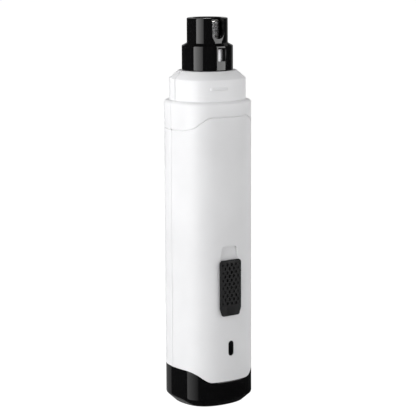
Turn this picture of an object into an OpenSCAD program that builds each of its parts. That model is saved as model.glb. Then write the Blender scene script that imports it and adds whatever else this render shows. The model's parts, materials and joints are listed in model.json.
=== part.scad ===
// Cordless pet nail trimmer: a white two-shell handle on a black base cap, a round
// guard that pulls off upwards, and a grinding drum turned by a motor in the handle.
// Millimetres, +Z along the handle, origin at the centre of the base's underside.
// The front, with the slide switch and the indicator, faces -Y.

/* [Handle] */
// Overall height, from the base's underside to the guard's top
total_h = 168; // [160:1:180]
// Width of the handle, side to side
body_w = 36; // [34:0.5:40]
// Depth of the handle, front to back
body_d = 34; // [33:0.5:38]
// Squareness of the handle's section: 2 is an ellipse, more is boxier
squareness = 2.5; // [2:0.1:3]
// Wall thickness of the handle shells
wall = 2; // [1.6:0.1:2.2]
// Distance of the shells' parting plane behind the handle's axis
seam_back = 1.75; // [0:0.25:3]
// Width of the decorative groove across the shells
groove_w = 0.5; // [0.3:0.1:0.8]

/* [Base cap] */
// Height of the base cap at the sides and the back
base_side_h = 16.6; // [14:0.2:20]
// Height of the base cap across the front
base_front_h = 11.5; // [9:0.5:13.5]
// Chamfer around the base's underside
base_chamfer = 3.6; // [2.5:0.1:4]
// Wall thickness of the base cap
base_wall = 1.6; // [1.2:0.1:1.8]

/* [Head] */
// Height of the collar above the handle's shoulder
collar_h = 12.6; // [11:0.2:14]
// Step in from the handle's side to the collar's
collar_inset = 2.2; // [1.6:0.1:2.6]
// Height of the collar's sloping top edge
collar_chamfer_h = 3.3; // [2.5:0.1:4]
// Width of the collar's sloping top edge
collar_chamfer_w = 3.7; // [2.8:0.1:3.9]

/* [Guard] */
// Radius of the guard's lower, wider tube
guard_r = 11; // [10.8:0.1:11]
// Radius of the guard's upper tube, around the drum
guard_top_r = 8.8; // [8.6:0.1:9.4]
// Wall thickness of the guard
guard_wall = 1.8; // [1.4:0.1:1.9]
// Height of the guard's lower tube
guard_low_h = 10.6; // [10.2:0.2:11.6]
// Width of the nail port in the guard's upper tube
port_w = 6.2; // [5:0.2:7]
// Height of the nail port, open at the top
port_h = 8.7; // [7.5:0.1:9.2]
// Width of the window in the guard's lower tube
window_w = 3.8; // [3:0.2:5]
// Height of the window in the guard's lower tube
window_h = 5.4; // [4:0.2:5.8]

/* [Drum] */
// Radius of the grinding drum, over the abrasive band
drum_r = 5.3; // [4.8:0.1:5.6]
// Length of the grinding drum
drum_h = 8.6; // [7:0.2:8.8]
// Radius of the arbor that carries the drum
arbor_r = 2; // [1.8:0.1:2.2]

/* [Switch] */
// Width of the slide button
button_w = 10.9; // [9:0.1:12]
// Length of the slide button
button_h = 24.5; // [20:0.5:26]
// Distance of the slide switch to the side of the handle's middle
switch_x = -0.7; // [-1:0.1:1]
// How far the button stands off the handle
button_proud = 1.2; // [1:0.1:2]
// Height of the button's lower end above the ground
button_z = 40.7; // [38:0.1:44]
// Distance that the button slides upwards to start the motor
switch_travel = 5.6; // [4:0.2:5.8]
// Radius of one grip dimple
dimple_r = 0.6; // [0.4:0.05:0.7]
// Spacing of the grip dimples along a row
dimple_pitch = 2.25; // [1.8:0.05:2.4]
// Spacing of the rows of grip dimples
dimple_row_h = 1.7; // [1.5:0.1:2.2]

/* [Indicator] */
// Width of the indicator window
lens_w = 2.8; // [2:0.1:3.4]
// Height of the indicator window
lens_h = 6.7; // [5:0.1:7]
// Height of the indicator's centre above the ground
lens_z = 26; // [24:0.5:28]

/* [Drive] */
// Radius of the motor can
motor_r = 12.2; // [11.5:0.1:12.3]
// Length of the motor can
motor_h = 31; // [28:1:32]
// Radius of the motor shaft
shaft_r = 1; // [0.8:0.1:1.2]
// Radius of the battery cell
cell_r = 9.1; // [8.6:0.1:9.2]
// Length of the battery cell
cell_h = 65; // [60:1:66]

/* [Hidden] */

eps = 0.01;          // overlap that keeps a cut clean
running_fit = 0.03;  // radial clearance of a turning or sliding fit
push_fit = 0.05;     // clearance of a part pushed over another
section_steps = 96;  // points around the handle's section
wave_steps = 14;     // strips in one rise of a wavy line
$fn = 64;

half_w = body_w / 2;
half_d = body_d / 2;
wave_in = half_w / 2;   // where the wavy lines start to rise, from the middle
guard_top_h = 11.7;     // height of the guard's upper tube, its slope included
collar_top = total_h - guard_top_h - guard_low_h;
shoulder_z = collar_top - collar_h;
shoulder_edge = 0.8;    // chamfer on the handle's shoulder
groove_front_drop = 6.3;
groove_side_drop = 12.1;
groove_depth = 0.4;
groove_front_z = shoulder_z - groove_front_drop;
groove_side_z = shoulder_z - groove_side_drop;
bar_w = 8;              // the short raised bar on the collar
bar_h = 1.2;
bar_x = -4;
bar_up = 5;
bar_proud = 0.35;

guard_bore_r = guard_r - guard_wall;
guard_step_z = collar_top + guard_low_h;
guard_slope_h = 1.1;    // height of the slope between the guard's two tubes
guard_lip_t = 1;        // lip that turns inwards round the guard's mouth
guard_lip_gap = 0.8;    // gap between the lip and the drum
window_up = 4.2;        // height of the window's sill above the collar
spigot_r = guard_bore_r - push_fit;
spigot_below_step = 0.8;
spigot_top = guard_step_z - spigot_below_step;
spigot_lead_in = 0.6;
spigot_seat = 0.3;      // gap between the spigot's end and the guard's inner step
spigot_flange_w = 1.8;
spigot_flange_r = spigot_r + spigot_flange_w;
spigot_flange_drop = 5;
spigot_flange_z = collar_top - spigot_flange_drop;
spigot_flange_h = 2.5;
nose_rib_h = 2;         // rib in the collar under the spigot's flange
nose_rib_in = 1.4;
rib_z = spigot_flange_z - nose_rib_h;
grip_ring_up = 1.6;
grip_ring_z = collar_top + grip_ring_up;
grip_ring_t = 1.6;
grip_ring_w = 1.2;

bearing_r = 5;
bearing_h = 4;
bearing_drop = 3.3;     // depth of the bearing's top below the spigot's
bearing_lip = 0.6;
bearing_z = spigot_top - bearing_h - bearing_drop;
bearing_inner_r = 2.9;
bearing_outer_r = 4.1;
ball_r = 0.72;
ball_gap = 0.02;
ball_count = 7;
ball_path_r = (bearing_inner_r + bearing_outer_r) / 2;
drum_drop = 0.9;        // depth of the drum's top below the guard's
drum_top = total_h - drum_drop;
drum_z = drum_top - drum_h;
band_t = 0.9;
washer_r = 3.2;
washer_t = 0.5;
washer_gap = 0.1;
drum_screw_r = 0.9;
drum_screw_l = 6.4;
drum_screw_head_r = 1.9;
drum_screw_head_h = 0.7;

cell_y = 4.5;
cell_z = 13.5;
tab_t = 0.5;
tab_r = 4;
tab_w = 5;
cradle_t = 1.8;
cradle_end = 2.5;
cradle_half_w = 9.2;
cradle_depth = 6;       // how far the cradle's ends reach behind the cell's axis
board_t = 1.2;
board_gap = 2;
board_back = cell_y - cell_r - cradle_t - board_gap;
board_front = board_back - board_t;
board_z = 7;
board_over = 1;
board_top = cell_z + cell_h + board_over;
board_screw_at = [[-6.5, 19], [6.5, 74]];
board_screw_r = 0.85;
board_hole_gap = 0.05;
board_screw_reach = 3;
board_boss_r = 2;
socket_w = 9;
socket_d = 3.2;
socket_h = 8.5;
socket_mouth = 0.8;     // depth of the charging port's mouth in the base
socket_shell = 0.35;
socket_gap = 0.15;
tongue_t = 0.7;

cradle_top = cell_z + cell_h + tab_t + cradle_end;
motor_gap = 6.5;        // room for the motor's terminals above the cradle
motor_z = cradle_top + motor_gap;
motor_top = motor_z + motor_h;
end_cap_h = 2.5;
end_cap_in = 1.2;
can_wall = 1;
front_bush_r = 3;
rear_bush_r = 2.5;
terminal_x = 7;
terminal_w = 2;
terminal_t = 0.4;
terminal_up = 1;
terminal_reach = 3.5;
lead_r = 0.6;
lead_turn_gap = 2;
bracket_h = 2;
damper_t = 1.6;
damper_r = motor_r + damper_t;
damper_h = 5;
damper_in = 2;          // distance of each rubber ring from the can's nearer end
damper_rib_t = 2;
motor_screw_x = 8;
motor_screw_r = 1;
motor_screw_head_r = 1.8;
motor_screw_head_h = 1.4;
magnet_t = 2;
magnet_arc = 130;
magnet_up = 5;
magnet_short = 9;       // how much shorter than the can the magnets are
armature_gap = 0.6;     // air gap between the magnets and the poles
armature_r = motor_r - can_wall - magnet_t - armature_gap;
armature_up = 7.5;
armature_z = motor_z + armature_up;
armature_h = 15;
hub_r = 3;
pole_count = 3;
pole_arc = 96;
pole_w = 2.4;
pole_shoe_t = 1.6;
pole_shoe_in = 0.8;
coil_half = 2.5;
coil_over = 1.8;
coil_gap = 0.8;         // gap between a coil and its pole's shoe
coil_fill = 0.4375;     // share of the slot's depth that a coil takes
commutator_r = 2.6;
commutator_up = 1.6;
commutator_h = 4;
commutator_cut = 0.3;
commutator_cut_in = 2;
shaft_under = 1;
shaft_over = 11;        // how far the shaft stands out of the motor's front
shaft_top = motor_top + shaft_over;
sleeve_up = 4;
sleeve_t = 1;
shaft_hole_spare = 0.5;
arbor_drop = 0.6;
tap_spare = 0.6;
tommy_hole_r = 0.7;
tommy_hole_up = 9;

screw_x = 12;
screw_low_z = 30;
screw_top_up = 9;
screw_zs = [screw_low_z, motor_top + screw_top_up];
boss_r = 2.7;
boss_embed = 0.2;       // how far a boss or rib sinks into the shell's wall
screw_r = 1.1;
screw_head_r = 1.8;
screw_head_h = 1.5;
screw_seat_y = 9;
screw_front_y = -4;
head_gap = 0.2;
base_screw_x = 8;
base_screw_y = 5;
base_screw_l = 9.8;
base_head_h = 0.9;
base_head_sunk = 0.3;
base_head_gap = 0.2;
base_hole_gap = 0.1;
base_floor = 2.4;
base_ledge_w = 3.4;
base_ledge_h = 2;
base_line_gap = 0.05;   // hairline between the base cap and the shells
skirt_gap = 0.1;
skirt_t = 1.5;
skirt_z = 4.6;
skirt_over = 2;
skirt_neck = 4;

well_floor = 1;
well_side = 1.25;       // how far the well's upper sides lie inside the button's
well_taper = 0.9;
well_spare = 0.3;
button_gap = 0.15;      // gap between the button and the handle's face
button_back = half_d + button_gap;
button_bevel = 0.7;
button_corner = 1.3;
button_crown_r = 36;
button_band_h = 4.4;    // plain band under the lowest row of dimples
dimple_top = 1.9;
dimple_depth = 0.55;
stem_w = 3;
stem_up = 9.8;
stem_z = button_z + stem_up;
stem_h = 5;
stem_side_gap = 0.15;
stem_end_gap = 0.2;
carrier_t = 1;
carrier_w = 6;
carrier_reach = 5;
carrier_gap = 0.2;
carrier_y = half_d - wall - carrier_gap;
case_w = 8;
case_wall = 3;
case_gap = 1.3;         // gap between the switch's case and the carrier
case_back = 0.8;
knob_w = 2;
knob_gap = 0.1;
knob_depth = 1;

lens_gap = 0.05;
lens_sunk = 0.15;
lens_flange_w = 0.8;
lens_flange_t = 0.7;
lens_wall_gap = 0.1;

// ---------- shared shapes ----------

// Signed power, which keeps the sign of the base
function spow(v, p) = sign(v) * pow(abs(v), p);

// Outline of the handle's section, drawn in by `inset`
function section(inset) = [
    for (i = [0 : section_steps - 1])
        let (a = 360 * i / section_steps)
        [(half_w - inset) * spow(cos(a), 2 / squareness),
         (half_d - inset) * spow(sin(a), 2 / squareness)]
];

// Height of a wavy line at `x`: level across the front, then an even rise to the side
function wave(x, front_z, side_z) =
    let (t = min(1, max(0, (abs(x) - wave_in) / (half_w - wave_in))))
    front_z + (side_z - front_z) * t * t * (3 - 2 * t);

// Points of a wavy line from one side of the handle to the other
function wave_line(front_z, side_z) = [
    for (i = [-wave_steps : wave_steps])
        let (x = sign(i) * (wave_in + (half_w - wave_in) * (abs(i) - 1) / (wave_steps - 1)))
        [i == 0 ? 0 : x, wave(x, front_z, side_z)]
];

// A slab of the handle's section from height `z` up
module section_slab(inset, z, h) {
    translate([0, 0, z]) linear_extrude(h) polygon(section(inset));
}

// A tapering slab between two insets
module section_taper(inset_low, inset_high, z, h) {
    hull() {
        section_slab(inset_low, z, eps);
        section_slab(inset_high, z + h - eps, eps);
    }
}

// An outline in X and Z, drawn through the depth from y0 to y1
module through_y(y0, y1) {
    translate([0, y1, 0]) rotate([90, 0, 0]) linear_extrude(y1 - y0) children();
}

// A round rod along Y from y0 to y1
module rod_y(r, x, z, y0, y1) {
    translate([x, y1, z]) rotate([90, 0, 0]) cylinder(r = r, h = y1 - y0);
}

// A ring about the handle's axis
module ring(r_out, r_in, z, h) {
    translate([0, 0, z]) difference() {
        cylinder(r = r_out, h = h);
        translate([0, 0, -eps]) cylinder(r = r_in, h = h + 2 * eps);
    }
}

// A block centred on X, from y0 to y1 and from z0 to z1
module block(w, y0, y1, z0, z1) {
    translate([-w / 2, y0, z0]) cube([w, y1 - y0, z1 - z0]);
}

// A screw with its seat at z = 0, its cross-recessed head above and its shank below
module screw(shank_r, shank_l, head_r, head_h) {
    slot_w = 0.3 * head_r;
    slot_l = 1.4 * head_r;
    slot_d = 0.45 * head_h;
    difference() {
        union() {
            cylinder(r = head_r, h = head_h);
            translate([0, 0, -shank_l]) cylinder(r = shank_r, h = shank_l + eps);
        }
        translate([-slot_w / 2, -slot_l / 2, head_h - slot_d]) cube([slot_w, slot_l, head_h]);
        translate([-slot_l / 2, -slot_w / 2, head_h - slot_d]) cube([slot_l, slot_w, head_h]);
    }
}

// Everything below a wavy line in front of the parting plane, and below side_z behind it
module below_wave(front_z, side_z) {
    far = body_w;
    through_y(-far, seam_back)
        polygon(concat([[-far, -far], [-far, side_z]], wave_line(front_z, side_z),
                       [[far, side_z], [far, -far]]));
    block(2 * far, seam_back - eps, far, -far, side_z);
}

// ---------- handle ----------

// The outside of both shells together
module handle_outside() {
    low = base_front_h - 1;
    section_slab(0, low, shoulder_z - shoulder_edge - low);
    section_taper(0, shoulder_edge, shoulder_z - shoulder_edge, shoulder_edge);
    section_slab(collar_inset, shoulder_z - wall, collar_h - collar_chamfer_h + wall);
    section_taper(collar_inset, collar_inset + collar_chamfer_w,
                  collar_top - collar_chamfer_h, collar_chamfer_h);
}

// The hollow inside both shells, with the nose's seat in the collar
module handle_inside() {
    section_slab(wall, -1, shoulder_z - wall + 1);
    section_slab(collar_inset + wall, shoulder_z - 2 * wall, rib_z - shoulder_z + 2 * wall);
    translate([0, 0, rib_z - 1]) cylinder(r = spigot_r - nose_rib_in, h = nose_rib_h + 1 + eps);
    translate([0, 0, spigot_flange_z]) cylinder(r = spigot_flange_r + push_fit, h = spigot_flange_h);
    translate([0, 0, spigot_flange_z]) cylinder(r = spigot_r + push_fit, h = 2 * spigot_flange_drop);
}

// The skirt that the base cap slides over
module skirt() {
    skirt_inset = base_wall + skirt_gap;
    difference() {
        section_slab(skirt_inset, skirt_z, base_side_h + skirt_over - skirt_z);
        section_slab(skirt_inset + skirt_t, skirt_z - 1, base_side_h - skirt_z + 1);
        section_slab(wall, base_side_h - eps, skirt_neck);
    }
}

// Ribs that hold the motor's rubber rings
module motor_ribs() {
    mid = damper_in + damper_h / 2;
    for (z = [motor_z + mid, motor_top - mid])
        difference() {
            section_slab(wall - eps, z - damper_rib_t / 2, damper_rib_t);
            translate([0, 0, z - damper_rib_t]) cylinder(r = damper_r, h = 2 * damper_rib_t);
        }
}

// Screw bosses, from the parting plane to the wall on the side that `y` names
module bosses(y) {
    for (x = [-screw_x, screw_x])
        for (z = screw_zs)
            rod_y(boss_r, x, z, min(y, seam_back), max(y, seam_back));
}

// Both shells as one, before they are parted
module both_shells() {
    difference() {
        union() {
            difference() {
                handle_outside();
                handle_inside();
                below_wave(base_front_h, base_side_h);
                groove();
            }
            skirt();
            motor_ribs();
            intersection() {
                union() {
                    bosses(-half_d);
                    bosses(half_d);
                }
                section_slab(wall - boss_embed, base_side_h, shoulder_z - base_side_h);
            }
        }
        for (x = [-screw_x, screw_x])
            for (z = screw_zs) {
                rod_y(screw_r, x, z, screw_front_y - 1, half_d);
                rod_y(screw_head_r + head_gap, x, z, screw_seat_y, half_d);
            }
    }
}

// The wavy groove that runs round the handle below its shoulder
module groove() {
    difference() {
        below_wave(groove_front_z + groove_w / 2, groove_side_z + groove_w / 2);
        below_wave(groove_front_z - groove_w / 2, groove_side_z - groove_w / 2);
        section_slab(groove_depth, 0, total_h);
    }
}

// The well above and behind the slide button, with its stem's slot
module switch_well() {
    well_top = button_z + button_h + switch_travel + well_spare;
    well_low = stem_z - 3;
    narrow = button_w / 2 - well_side;
    wide = narrow + well_taper;
    through_y(-half_d - 1, -half_d + well_floor)
        polygon([[-wide, well_low], [-wide, well_top - switch_travel],
                 [-narrow, well_top], [narrow, well_top],
                 [wide, well_top - switch_travel], [wide, well_low]]);
    block(stem_w + 2 * stem_side_gap, -half_d - 1, -half_d + wall + 1,
          stem_z - stem_end_gap, stem_z + stem_h + switch_travel + stem_end_gap);
}

// A pill outline, upright in X and Z
module pill(w, h, z) {
    translate([0, z - (h - w) / 2]) circle(d = w);
    translate([0, z + (h - w) / 2]) circle(d = w);
    translate([-w / 2, z - (h - w) / 2]) square([w, h - w]);
}

// The short raised bar on the collar
module collar_bar() {
    z = shoulder_z + bar_up;
    intersection() {
        section_slab(collar_inset - bar_proud, z, bar_h);
        translate([bar_x, 0, 0]) block(bar_w, -half_d, 0, z, z + bar_h);
    }
}

module front_shell() {
    color("white") difference() {
        union() {
            intersection() {
                both_shells();
                block(3 * body_w, -body_d, seam_back, -1, total_h);
            }
            difference() {
                collar_bar();
                section_slab(collar_inset + wall / 2, 0, total_h);
            }
        }
        translate([switch_x, 0, 0]) switch_well();
        through_y(-half_d - 1, -half_d + wall + 1) 
            pill(lens_w + 2 * lens_gap, lens_h + 2 * lens_gap, lens_z);
    }
}

module rear_shell() {
    color("white") intersection() {
        both_shells();
        block(3 * body_w, seam_back, body_d, -1, total_h);
    }
}

module shell_screws() {
    color("silver") for (x = [-screw_x, screw_x])
        for (z = screw_zs)
            translate([x, screw_seat_y, z]) rotate([-90, 0, 0])
                screw(screw_r, screw_seat_y - screw_front_y, screw_head_r, screw_head_h);
}

// ---------- base ----------

// Moves a child to each of the base's two screws
module at_base_screws() {
    for (x = [-base_screw_x, base_screw_x]) translate([x, base_screw_y, 0]) children();
}

module base_cap() {
    color([0.05, 0.05, 0.06]) difference() {
        union() {
            section_taper(base_chamfer, 0, 0, base_chamfer);
            intersection() {
                section_slab(0, base_chamfer - eps, base_side_h);
                below_wave(base_front_h - base_line_gap, base_side_h - base_line_gap);
            }
        }
        section_slab(base_wall, base_floor + base_ledge_h, base_side_h);
        section_slab(base_wall + base_ledge_w, base_floor, base_side_h);
        block(socket_w + 2 * socket_gap, board_back - socket_gap,
              board_back + socket_d + socket_gap, -1, base_floor + 1);
        at_base_screws() {
            translate([0, 0, -1]) cylinder(r = screw_r + base_hole_gap, h = base_floor + 2);
            translate([0, 0, -1])
                cylinder(r = screw_head_r + base_head_gap, h = base_head_sunk + base_head_h + 1);
        }
    }
}

module base_screws() {
    color("silver") at_base_screws()
        translate([0, 0, base_head_sunk + base_head_h]) rotate([180, 0, 0])
            screw(screw_r, base_screw_l, screw_head_r, base_head_h);
}

// ---------- electronics ----------

module indicator_lens() {
    back = half_d - wall - lens_wall_gap;
    color([0.04, 0.04, 0.05]) {
        through_y(-half_d + lens_sunk, -back + eps) pill(lens_w, lens_h, lens_z);
        through_y(-back, -back + lens_flange_t)
            pill(lens_w + 2 * lens_flange_w, lens_h + 2 * lens_flange_w, lens_z);
    }
}

module circuit_board() {
    color("darkgreen") difference() {
        block(2 * cradle_half_w, board_front, board_back, board_z, board_top);
        for (p = board_screw_at)
            rod_y(board_screw_r + board_hole_gap, p[0], p[1], board_front - 1, board_back + 1);
    }
}

module board_screws() {
    color("silver") for (p = board_screw_at)
        translate([p[0], board_front, p[1]]) rotate([90, 0, 0])
            screw(board_screw_r, board_t + board_screw_reach, 2 * board_screw_r, 1);
}

module control_chips() {
    color([0.1, 0.1, 0.1]) {
        translate([4, 0, 0]) block(5, board_front - 1, board_front, 33, 38);
        translate([-5, 0, 0]) block(3.5, board_front - 0.9, board_front, 34, 37);
        translate([5.5, 0, 0]) block(3, board_front - 1.6, board_front, 15, 18);
    }
}

module status_led() {
    led_w = 2;
    color("gold") {
        block(led_w, board_front - 0.8, board_front, lens_z - 1, lens_z + 1);
        rod_y(0.8, 0, lens_z, board_front - 1.6, board_front - 0.8 + eps);
    }
}

module slide_switch_case() {
    front = -carrier_y + carrier_t + case_gap;
    slot_low = stem_z + stem_h / 2 - knob_w / 2 - knob_gap;
    slot_high = slot_low + knob_w + switch_travel + 2 * knob_gap;
    color("dimgray") translate([switch_x, 0, 0]) difference() {
        block(case_w, front, board_front, slot_low - case_wall, slot_high + case_wall);
        block(knob_w + 2 * knob_gap, front - 1, board_front - case_back, slot_low, slot_high);
    }
}

module charge_socket() {
    back = board_back + socket_d;
    mid = board_back + socket_d / 2;
    top = socket_mouth + socket_h;
    color("silver") difference() {
        block(socket_w, board_back, back, socket_mouth, top);
        block(socket_w - 2 * socket_shell, board_back + socket_shell, back - socket_shell,
              socket_mouth - 1, top - 2);
    }
    color([0.1, 0.1, 0.1])
        block(socket_w - 3, mid - tongue_t / 2, mid + tongue_t / 2, socket_mouth + 1, top - 1);
}

module battery_cradle() {
    plate_y = cell_y - cell_r - cradle_t;
    z0 = cell_z - tab_t - cradle_end;
    color([0.15, 0.15, 0.15]) difference() {
        union() {
            block(2 * cradle_half_w, plate_y, plate_y + cradle_t, z0, cradle_top);
            for (z = [z0, cradle_top - cradle_end])
                block(2 * cradle_half_w, plate_y, cell_y + cradle_depth, z, z + cradle_end);
            for (p = board_screw_at)
                rod_y(board_boss_r, p[0], p[1], board_back, plate_y + eps);
        }
        for (p = board_screw_at)
            rod_y(board_screw_r, p[0], p[1], board_back - 1, board_back + board_screw_reach);
        at_base_screws() translate([0, 0, z0 - 1]) cylinder(r = screw_r, h = cradle_end + 2);
        for (z = [cell_z - tab_t, cell_z + cell_h])
            block(tab_w + 1, plate_y - 1, plate_y + cradle_t + 1, z, z + tab_t);
    }
}

module battery_cell() {
    crimp_in = 1.2;
    crimp_h = 0.8;
    crimp_depth = 0.3;
    color([0.1, 0.35, 0.65]) translate([0, cell_y, cell_z]) difference() {
        cylinder(r = cell_r, h = cell_h);
        for (z = [crimp_in, cell_h - crimp_in - crimp_h]) translate([0, 0, z]) difference() {
            cylinder(r = cell_r + 1, h = crimp_h);
            translate([0, 0, -1]) cylinder(r = cell_r - crimp_depth, h = crimp_h + 2);
        }
    }
}

// A nickel strip welded to one end of the cell and soldered to the board
module battery_tab(z) {
    color("silver") {
        translate([0, cell_y, z]) cylinder(r = tab_r, h = tab_t);
        block(tab_w, board_back, cell_y, z, z + tab_t);
    }
}

module battery_tab_top() {
    battery_tab(cell_z + cell_h);
}

module battery_tab_bottom() {
    battery_tab(cell_z - tab_t);
}

// One lead from the board's top edge to a motor terminal
module motor_lead(x) {
    y = (board_front + board_back) / 2;
    turn_z = motor_z - end_cap_h - lead_turn_gap;
    translate([x, y, board_top]) cylinder(r = lead_r, h = turn_z - board_top);
    translate([x, y, turn_z]) sphere(r = lead_r);
    rod_y(lead_r, x, turn_z, y, -terminal_t / 2);
}

module motor_lead_red() {
    color("red") motor_lead(terminal_x);
}

module motor_lead_black() {
    color([0.1, 0.1, 0.1]) motor_lead(-terminal_x);
}

// ---------- motor ----------

module motor_can() {
    color("gray") translate([0, 0, motor_z]) difference() {
        cylinder(r = motor_r, h = motor_h);
        translate([0, 0, -1]) cylinder(r = motor_r - can_wall, h = motor_h - can_wall + 1);
        cylinder(r = front_bush_r, h = motor_h + 1);
        for (x = [-motor_screw_x, motor_screw_x])
            translate([x, 0, 0]) cylinder(r = motor_screw_r, h = motor_h + 1);
    }
}

module motor_end_cap() {
    plug_h = 1.2;
    low = motor_z - end_cap_h;
    color([0.1, 0.1, 0.1]) difference() {
        union() {
            translate([0, 0, low]) cylinder(r = motor_r - end_cap_in, h = end_cap_h);
            translate([0, 0, motor_z - eps]) cylinder(r = motor_r - can_wall, h = plug_h);
        }
        translate([0, 0, low - 1]) cylinder(r = rear_bush_r, h = end_cap_h + plug_h + 2);
        for (x = [-terminal_x, terminal_x])
            translate([x, 0, 0]) block(terminal_w, -terminal_t / 2, terminal_t / 2,
                                       low - 1, motor_z + plug_h + 1);
    }
}

module motor_terminals() {
    color("goldenrod") for (x = [-terminal_x, terminal_x])
        translate([x, 0, 0]) block(terminal_w, -terminal_t / 2, terminal_t / 2,
                                   motor_z - end_cap_h - terminal_reach, motor_z + terminal_up);
}

module motor_magnets() {
    magnet_out = motor_r - can_wall - running_fit;
    color([0.2, 0.2, 0.22]) for (side = [0, 180])
        translate([0, 0, motor_z + magnet_up]) rotate([0, 0, side - magnet_arc / 2])
            rotate_extrude(angle = magnet_arc)
                translate([magnet_out - magnet_t, 0]) square([magnet_t, motor_h - magnet_short]);
}

module motor_front_bush() {
    bush_h = 4;
    color("peru") ring(front_bush_r, shaft_r + running_fit, motor_top - can_wall - 1, bush_h);
}

module motor_rear_bush() {
    color("peru") ring(rear_bush_r, shaft_r + running_fit, motor_z - end_cap_h, end_cap_h + 1);
}

module motor_bracket() {
    color([0.15, 0.15, 0.15]) translate([0, 0, motor_top]) difference() {
        cylinder(r = damper_r, h = bracket_h);
        translate([0, 0, -1]) cylinder(r = front_bush_r, h = bracket_h + 2);
        for (x = [-motor_screw_x, motor_screw_x])
            translate([x, 0, -1]) cylinder(r = motor_screw_r, h = bracket_h + 2);
    }
}

module motor_screws() {
    color("silver") for (x = [-motor_screw_x, motor_screw_x])
        translate([x, 0, motor_top + bracket_h])
            screw(motor_screw_r, bracket_h + can_wall, motor_screw_head_r, motor_screw_head_h);
}

module motor_damper_front() {
    color([0.12, 0.12, 0.12])
        ring(damper_r, motor_r, motor_top - damper_in - damper_h, damper_h);
}

module motor_damper_rear() {
    color([0.12, 0.12, 0.12]) ring(damper_r, motor_r, motor_z + damper_in, damper_h);
}

// ---------- nose ----------

module nose_spigot() {
    deep = spigot_top - spigot_flange_z + 2;
    color("silver") difference() {
        union() {
            translate([0, 0, spigot_flange_z]) cylinder(r = spigot_flange_r, h = spigot_flange_h);
            translate([0, 0, spigot_flange_z])
                cylinder(r = spigot_r, h = spigot_top - spigot_flange_z - spigot_lead_in);
            translate([0, 0, spigot_top - spigot_lead_in - eps])
                cylinder(r1 = spigot_r, r2 = spigot_r - spigot_lead_in, h = spigot_lead_in + eps);
        }
        translate([0, 0, spigot_flange_z - 1]) cylinder(r = bearing_r - bearing_lip, h = deep);
        translate([0, 0, bearing_z]) cylinder(r = bearing_r, h = deep);
        ring(spigot_r + 1, spigot_r - grip_ring_w, grip_ring_z, grip_ring_t);
    }
}

module guard_grip_ring() {
    color([0.12, 0.12, 0.12]) ring(spigot_r, spigot_r - grip_ring_w, grip_ring_z, grip_ring_t);
}

// The groove that the balls run in, about the bearing's middle
module ball_path(r) {
    translate([0, 0, bearing_z + bearing_h / 2])
        rotate_extrude() translate([ball_path_r, 0]) circle(r = r);
}

module bearing_outer_race() {
    color("silver") difference() {
        ring(bearing_r, bearing_outer_r, bearing_z, bearing_h);
        ball_path(ball_r + ball_gap);
    }
}

// ---------- spindle ----------

module motor_shaft() {
    low = motor_z - end_cap_h - shaft_under;
    color("silver") translate([0, 0, low]) cylinder(r = shaft_r, h = shaft_top - low);
}

module armature_core() {
    color("gray") translate([0, 0, armature_z]) difference() {
        union() {
            cylinder(r = hub_r, h = armature_h);
            for (i = [0 : pole_count - 1]) rotate([0, 0, i * 360 / pole_count]) {
                translate([0, -pole_w / 2, 0])
                    cube([armature_r - pole_shoe_in, pole_w, armature_h]);
                rotate([0, 0, -pole_arc / 2]) rotate_extrude(angle = pole_arc)
                    translate([armature_r - pole_shoe_t, 0]) square([pole_shoe_t, armature_h]);
            }
        }
        translate([0, 0, -1]) cylinder(r = shaft_r, h = armature_h + 2);
    }
}

module armature_windings() {
    coil_out = armature_r - pole_shoe_t - coil_gap;
    coil_t = coil_fill * (coil_out - hub_r);
    color("peru") translate([0, 0, armature_z])
        for (i = [0 : pole_count - 1]) rotate([0, 0, i * 360 / pole_count])
            difference() {
                translate([coil_out - coil_t, -coil_half, -coil_over])
                    cube([coil_t, 2 * coil_half, armature_h + 2 * coil_over]);
                translate([0, -pole_w / 2, 0]) cube([armature_r, pole_w, armature_h]);
            }
}

module commutator() {
    color("goldenrod") difference() {
        ring(commutator_r, shaft_r, motor_z + commutator_up, commutator_h);
        for (i = [0 : pole_count - 1]) rotate([0, 0, (i + 0.5) * 360 / pole_count])
            translate([commutator_cut_in, -commutator_cut / 2, motor_z + commutator_up - 1])
                cube([commutator_r, commutator_cut, commutator_h + 2]);
    }
}

module drum_arbor() {
    sleeve_z = motor_top + sleeve_up;
    sleeve_r = arbor_r + sleeve_t;
    tap_l = drum_screw_l + tap_spare;
    color("gray") difference() {
        union() {
            translate([0, 0, sleeve_z]) cylinder(r = sleeve_r, h = bearing_z - sleeve_z);
            translate([0, 0, bearing_z - eps])
                cylinder(r = arbor_r, h = drum_top - arbor_drop - bearing_z);
        }
        translate([0, 0, sleeve_z - 1])
            cylinder(r = shaft_r, h = shaft_top + shaft_hole_spare - sleeve_z + 1);
        translate([0, 0, drum_top - tap_l]) cylinder(r = drum_screw_r, h = tap_l + 1);
        translate([0, 0, sleeve_z + tommy_hole_up]) rotate([0, 90, 0])
            cylinder(r = tommy_hole_r, h = 4 * sleeve_r, center = true);
    }
}

module bearing_inner_race() {
    color("silver") difference() {
        ring(bearing_inner_r, arbor_r, bearing_z, bearing_h);
        ball_path(ball_r);
    }
}

module bearing_balls() {
    color("silver") for (i = [0 : ball_count - 1]) rotate([0, 0, i * 360 / ball_count])
        translate([ball_path_r, 0, bearing_z + bearing_h / 2]) sphere(r = ball_r);
}

module drum_core() {
    color([0.2, 0.2, 0.2]) ring(drum_r - band_t, arbor_r, drum_z, drum_h - arbor_drop);
}

module abrasive_band() {
    color([0.55, 0.55, 0.55]) ring(drum_r, drum_r - band_t, drum_z, drum_h - washer_gap);
}

module drum_washer() {
    color("silver") ring(washer_r, drum_screw_r, drum_top - washer_gap - washer_t, washer_t);
}

module drum_screw() {
    color("silver") translate([0, 0, drum_top - washer_gap])
        screw(drum_screw_r, drum_screw_l, drum_screw_head_r, drum_screw_head_h);
}

// ---------- slide switch ----------

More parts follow.
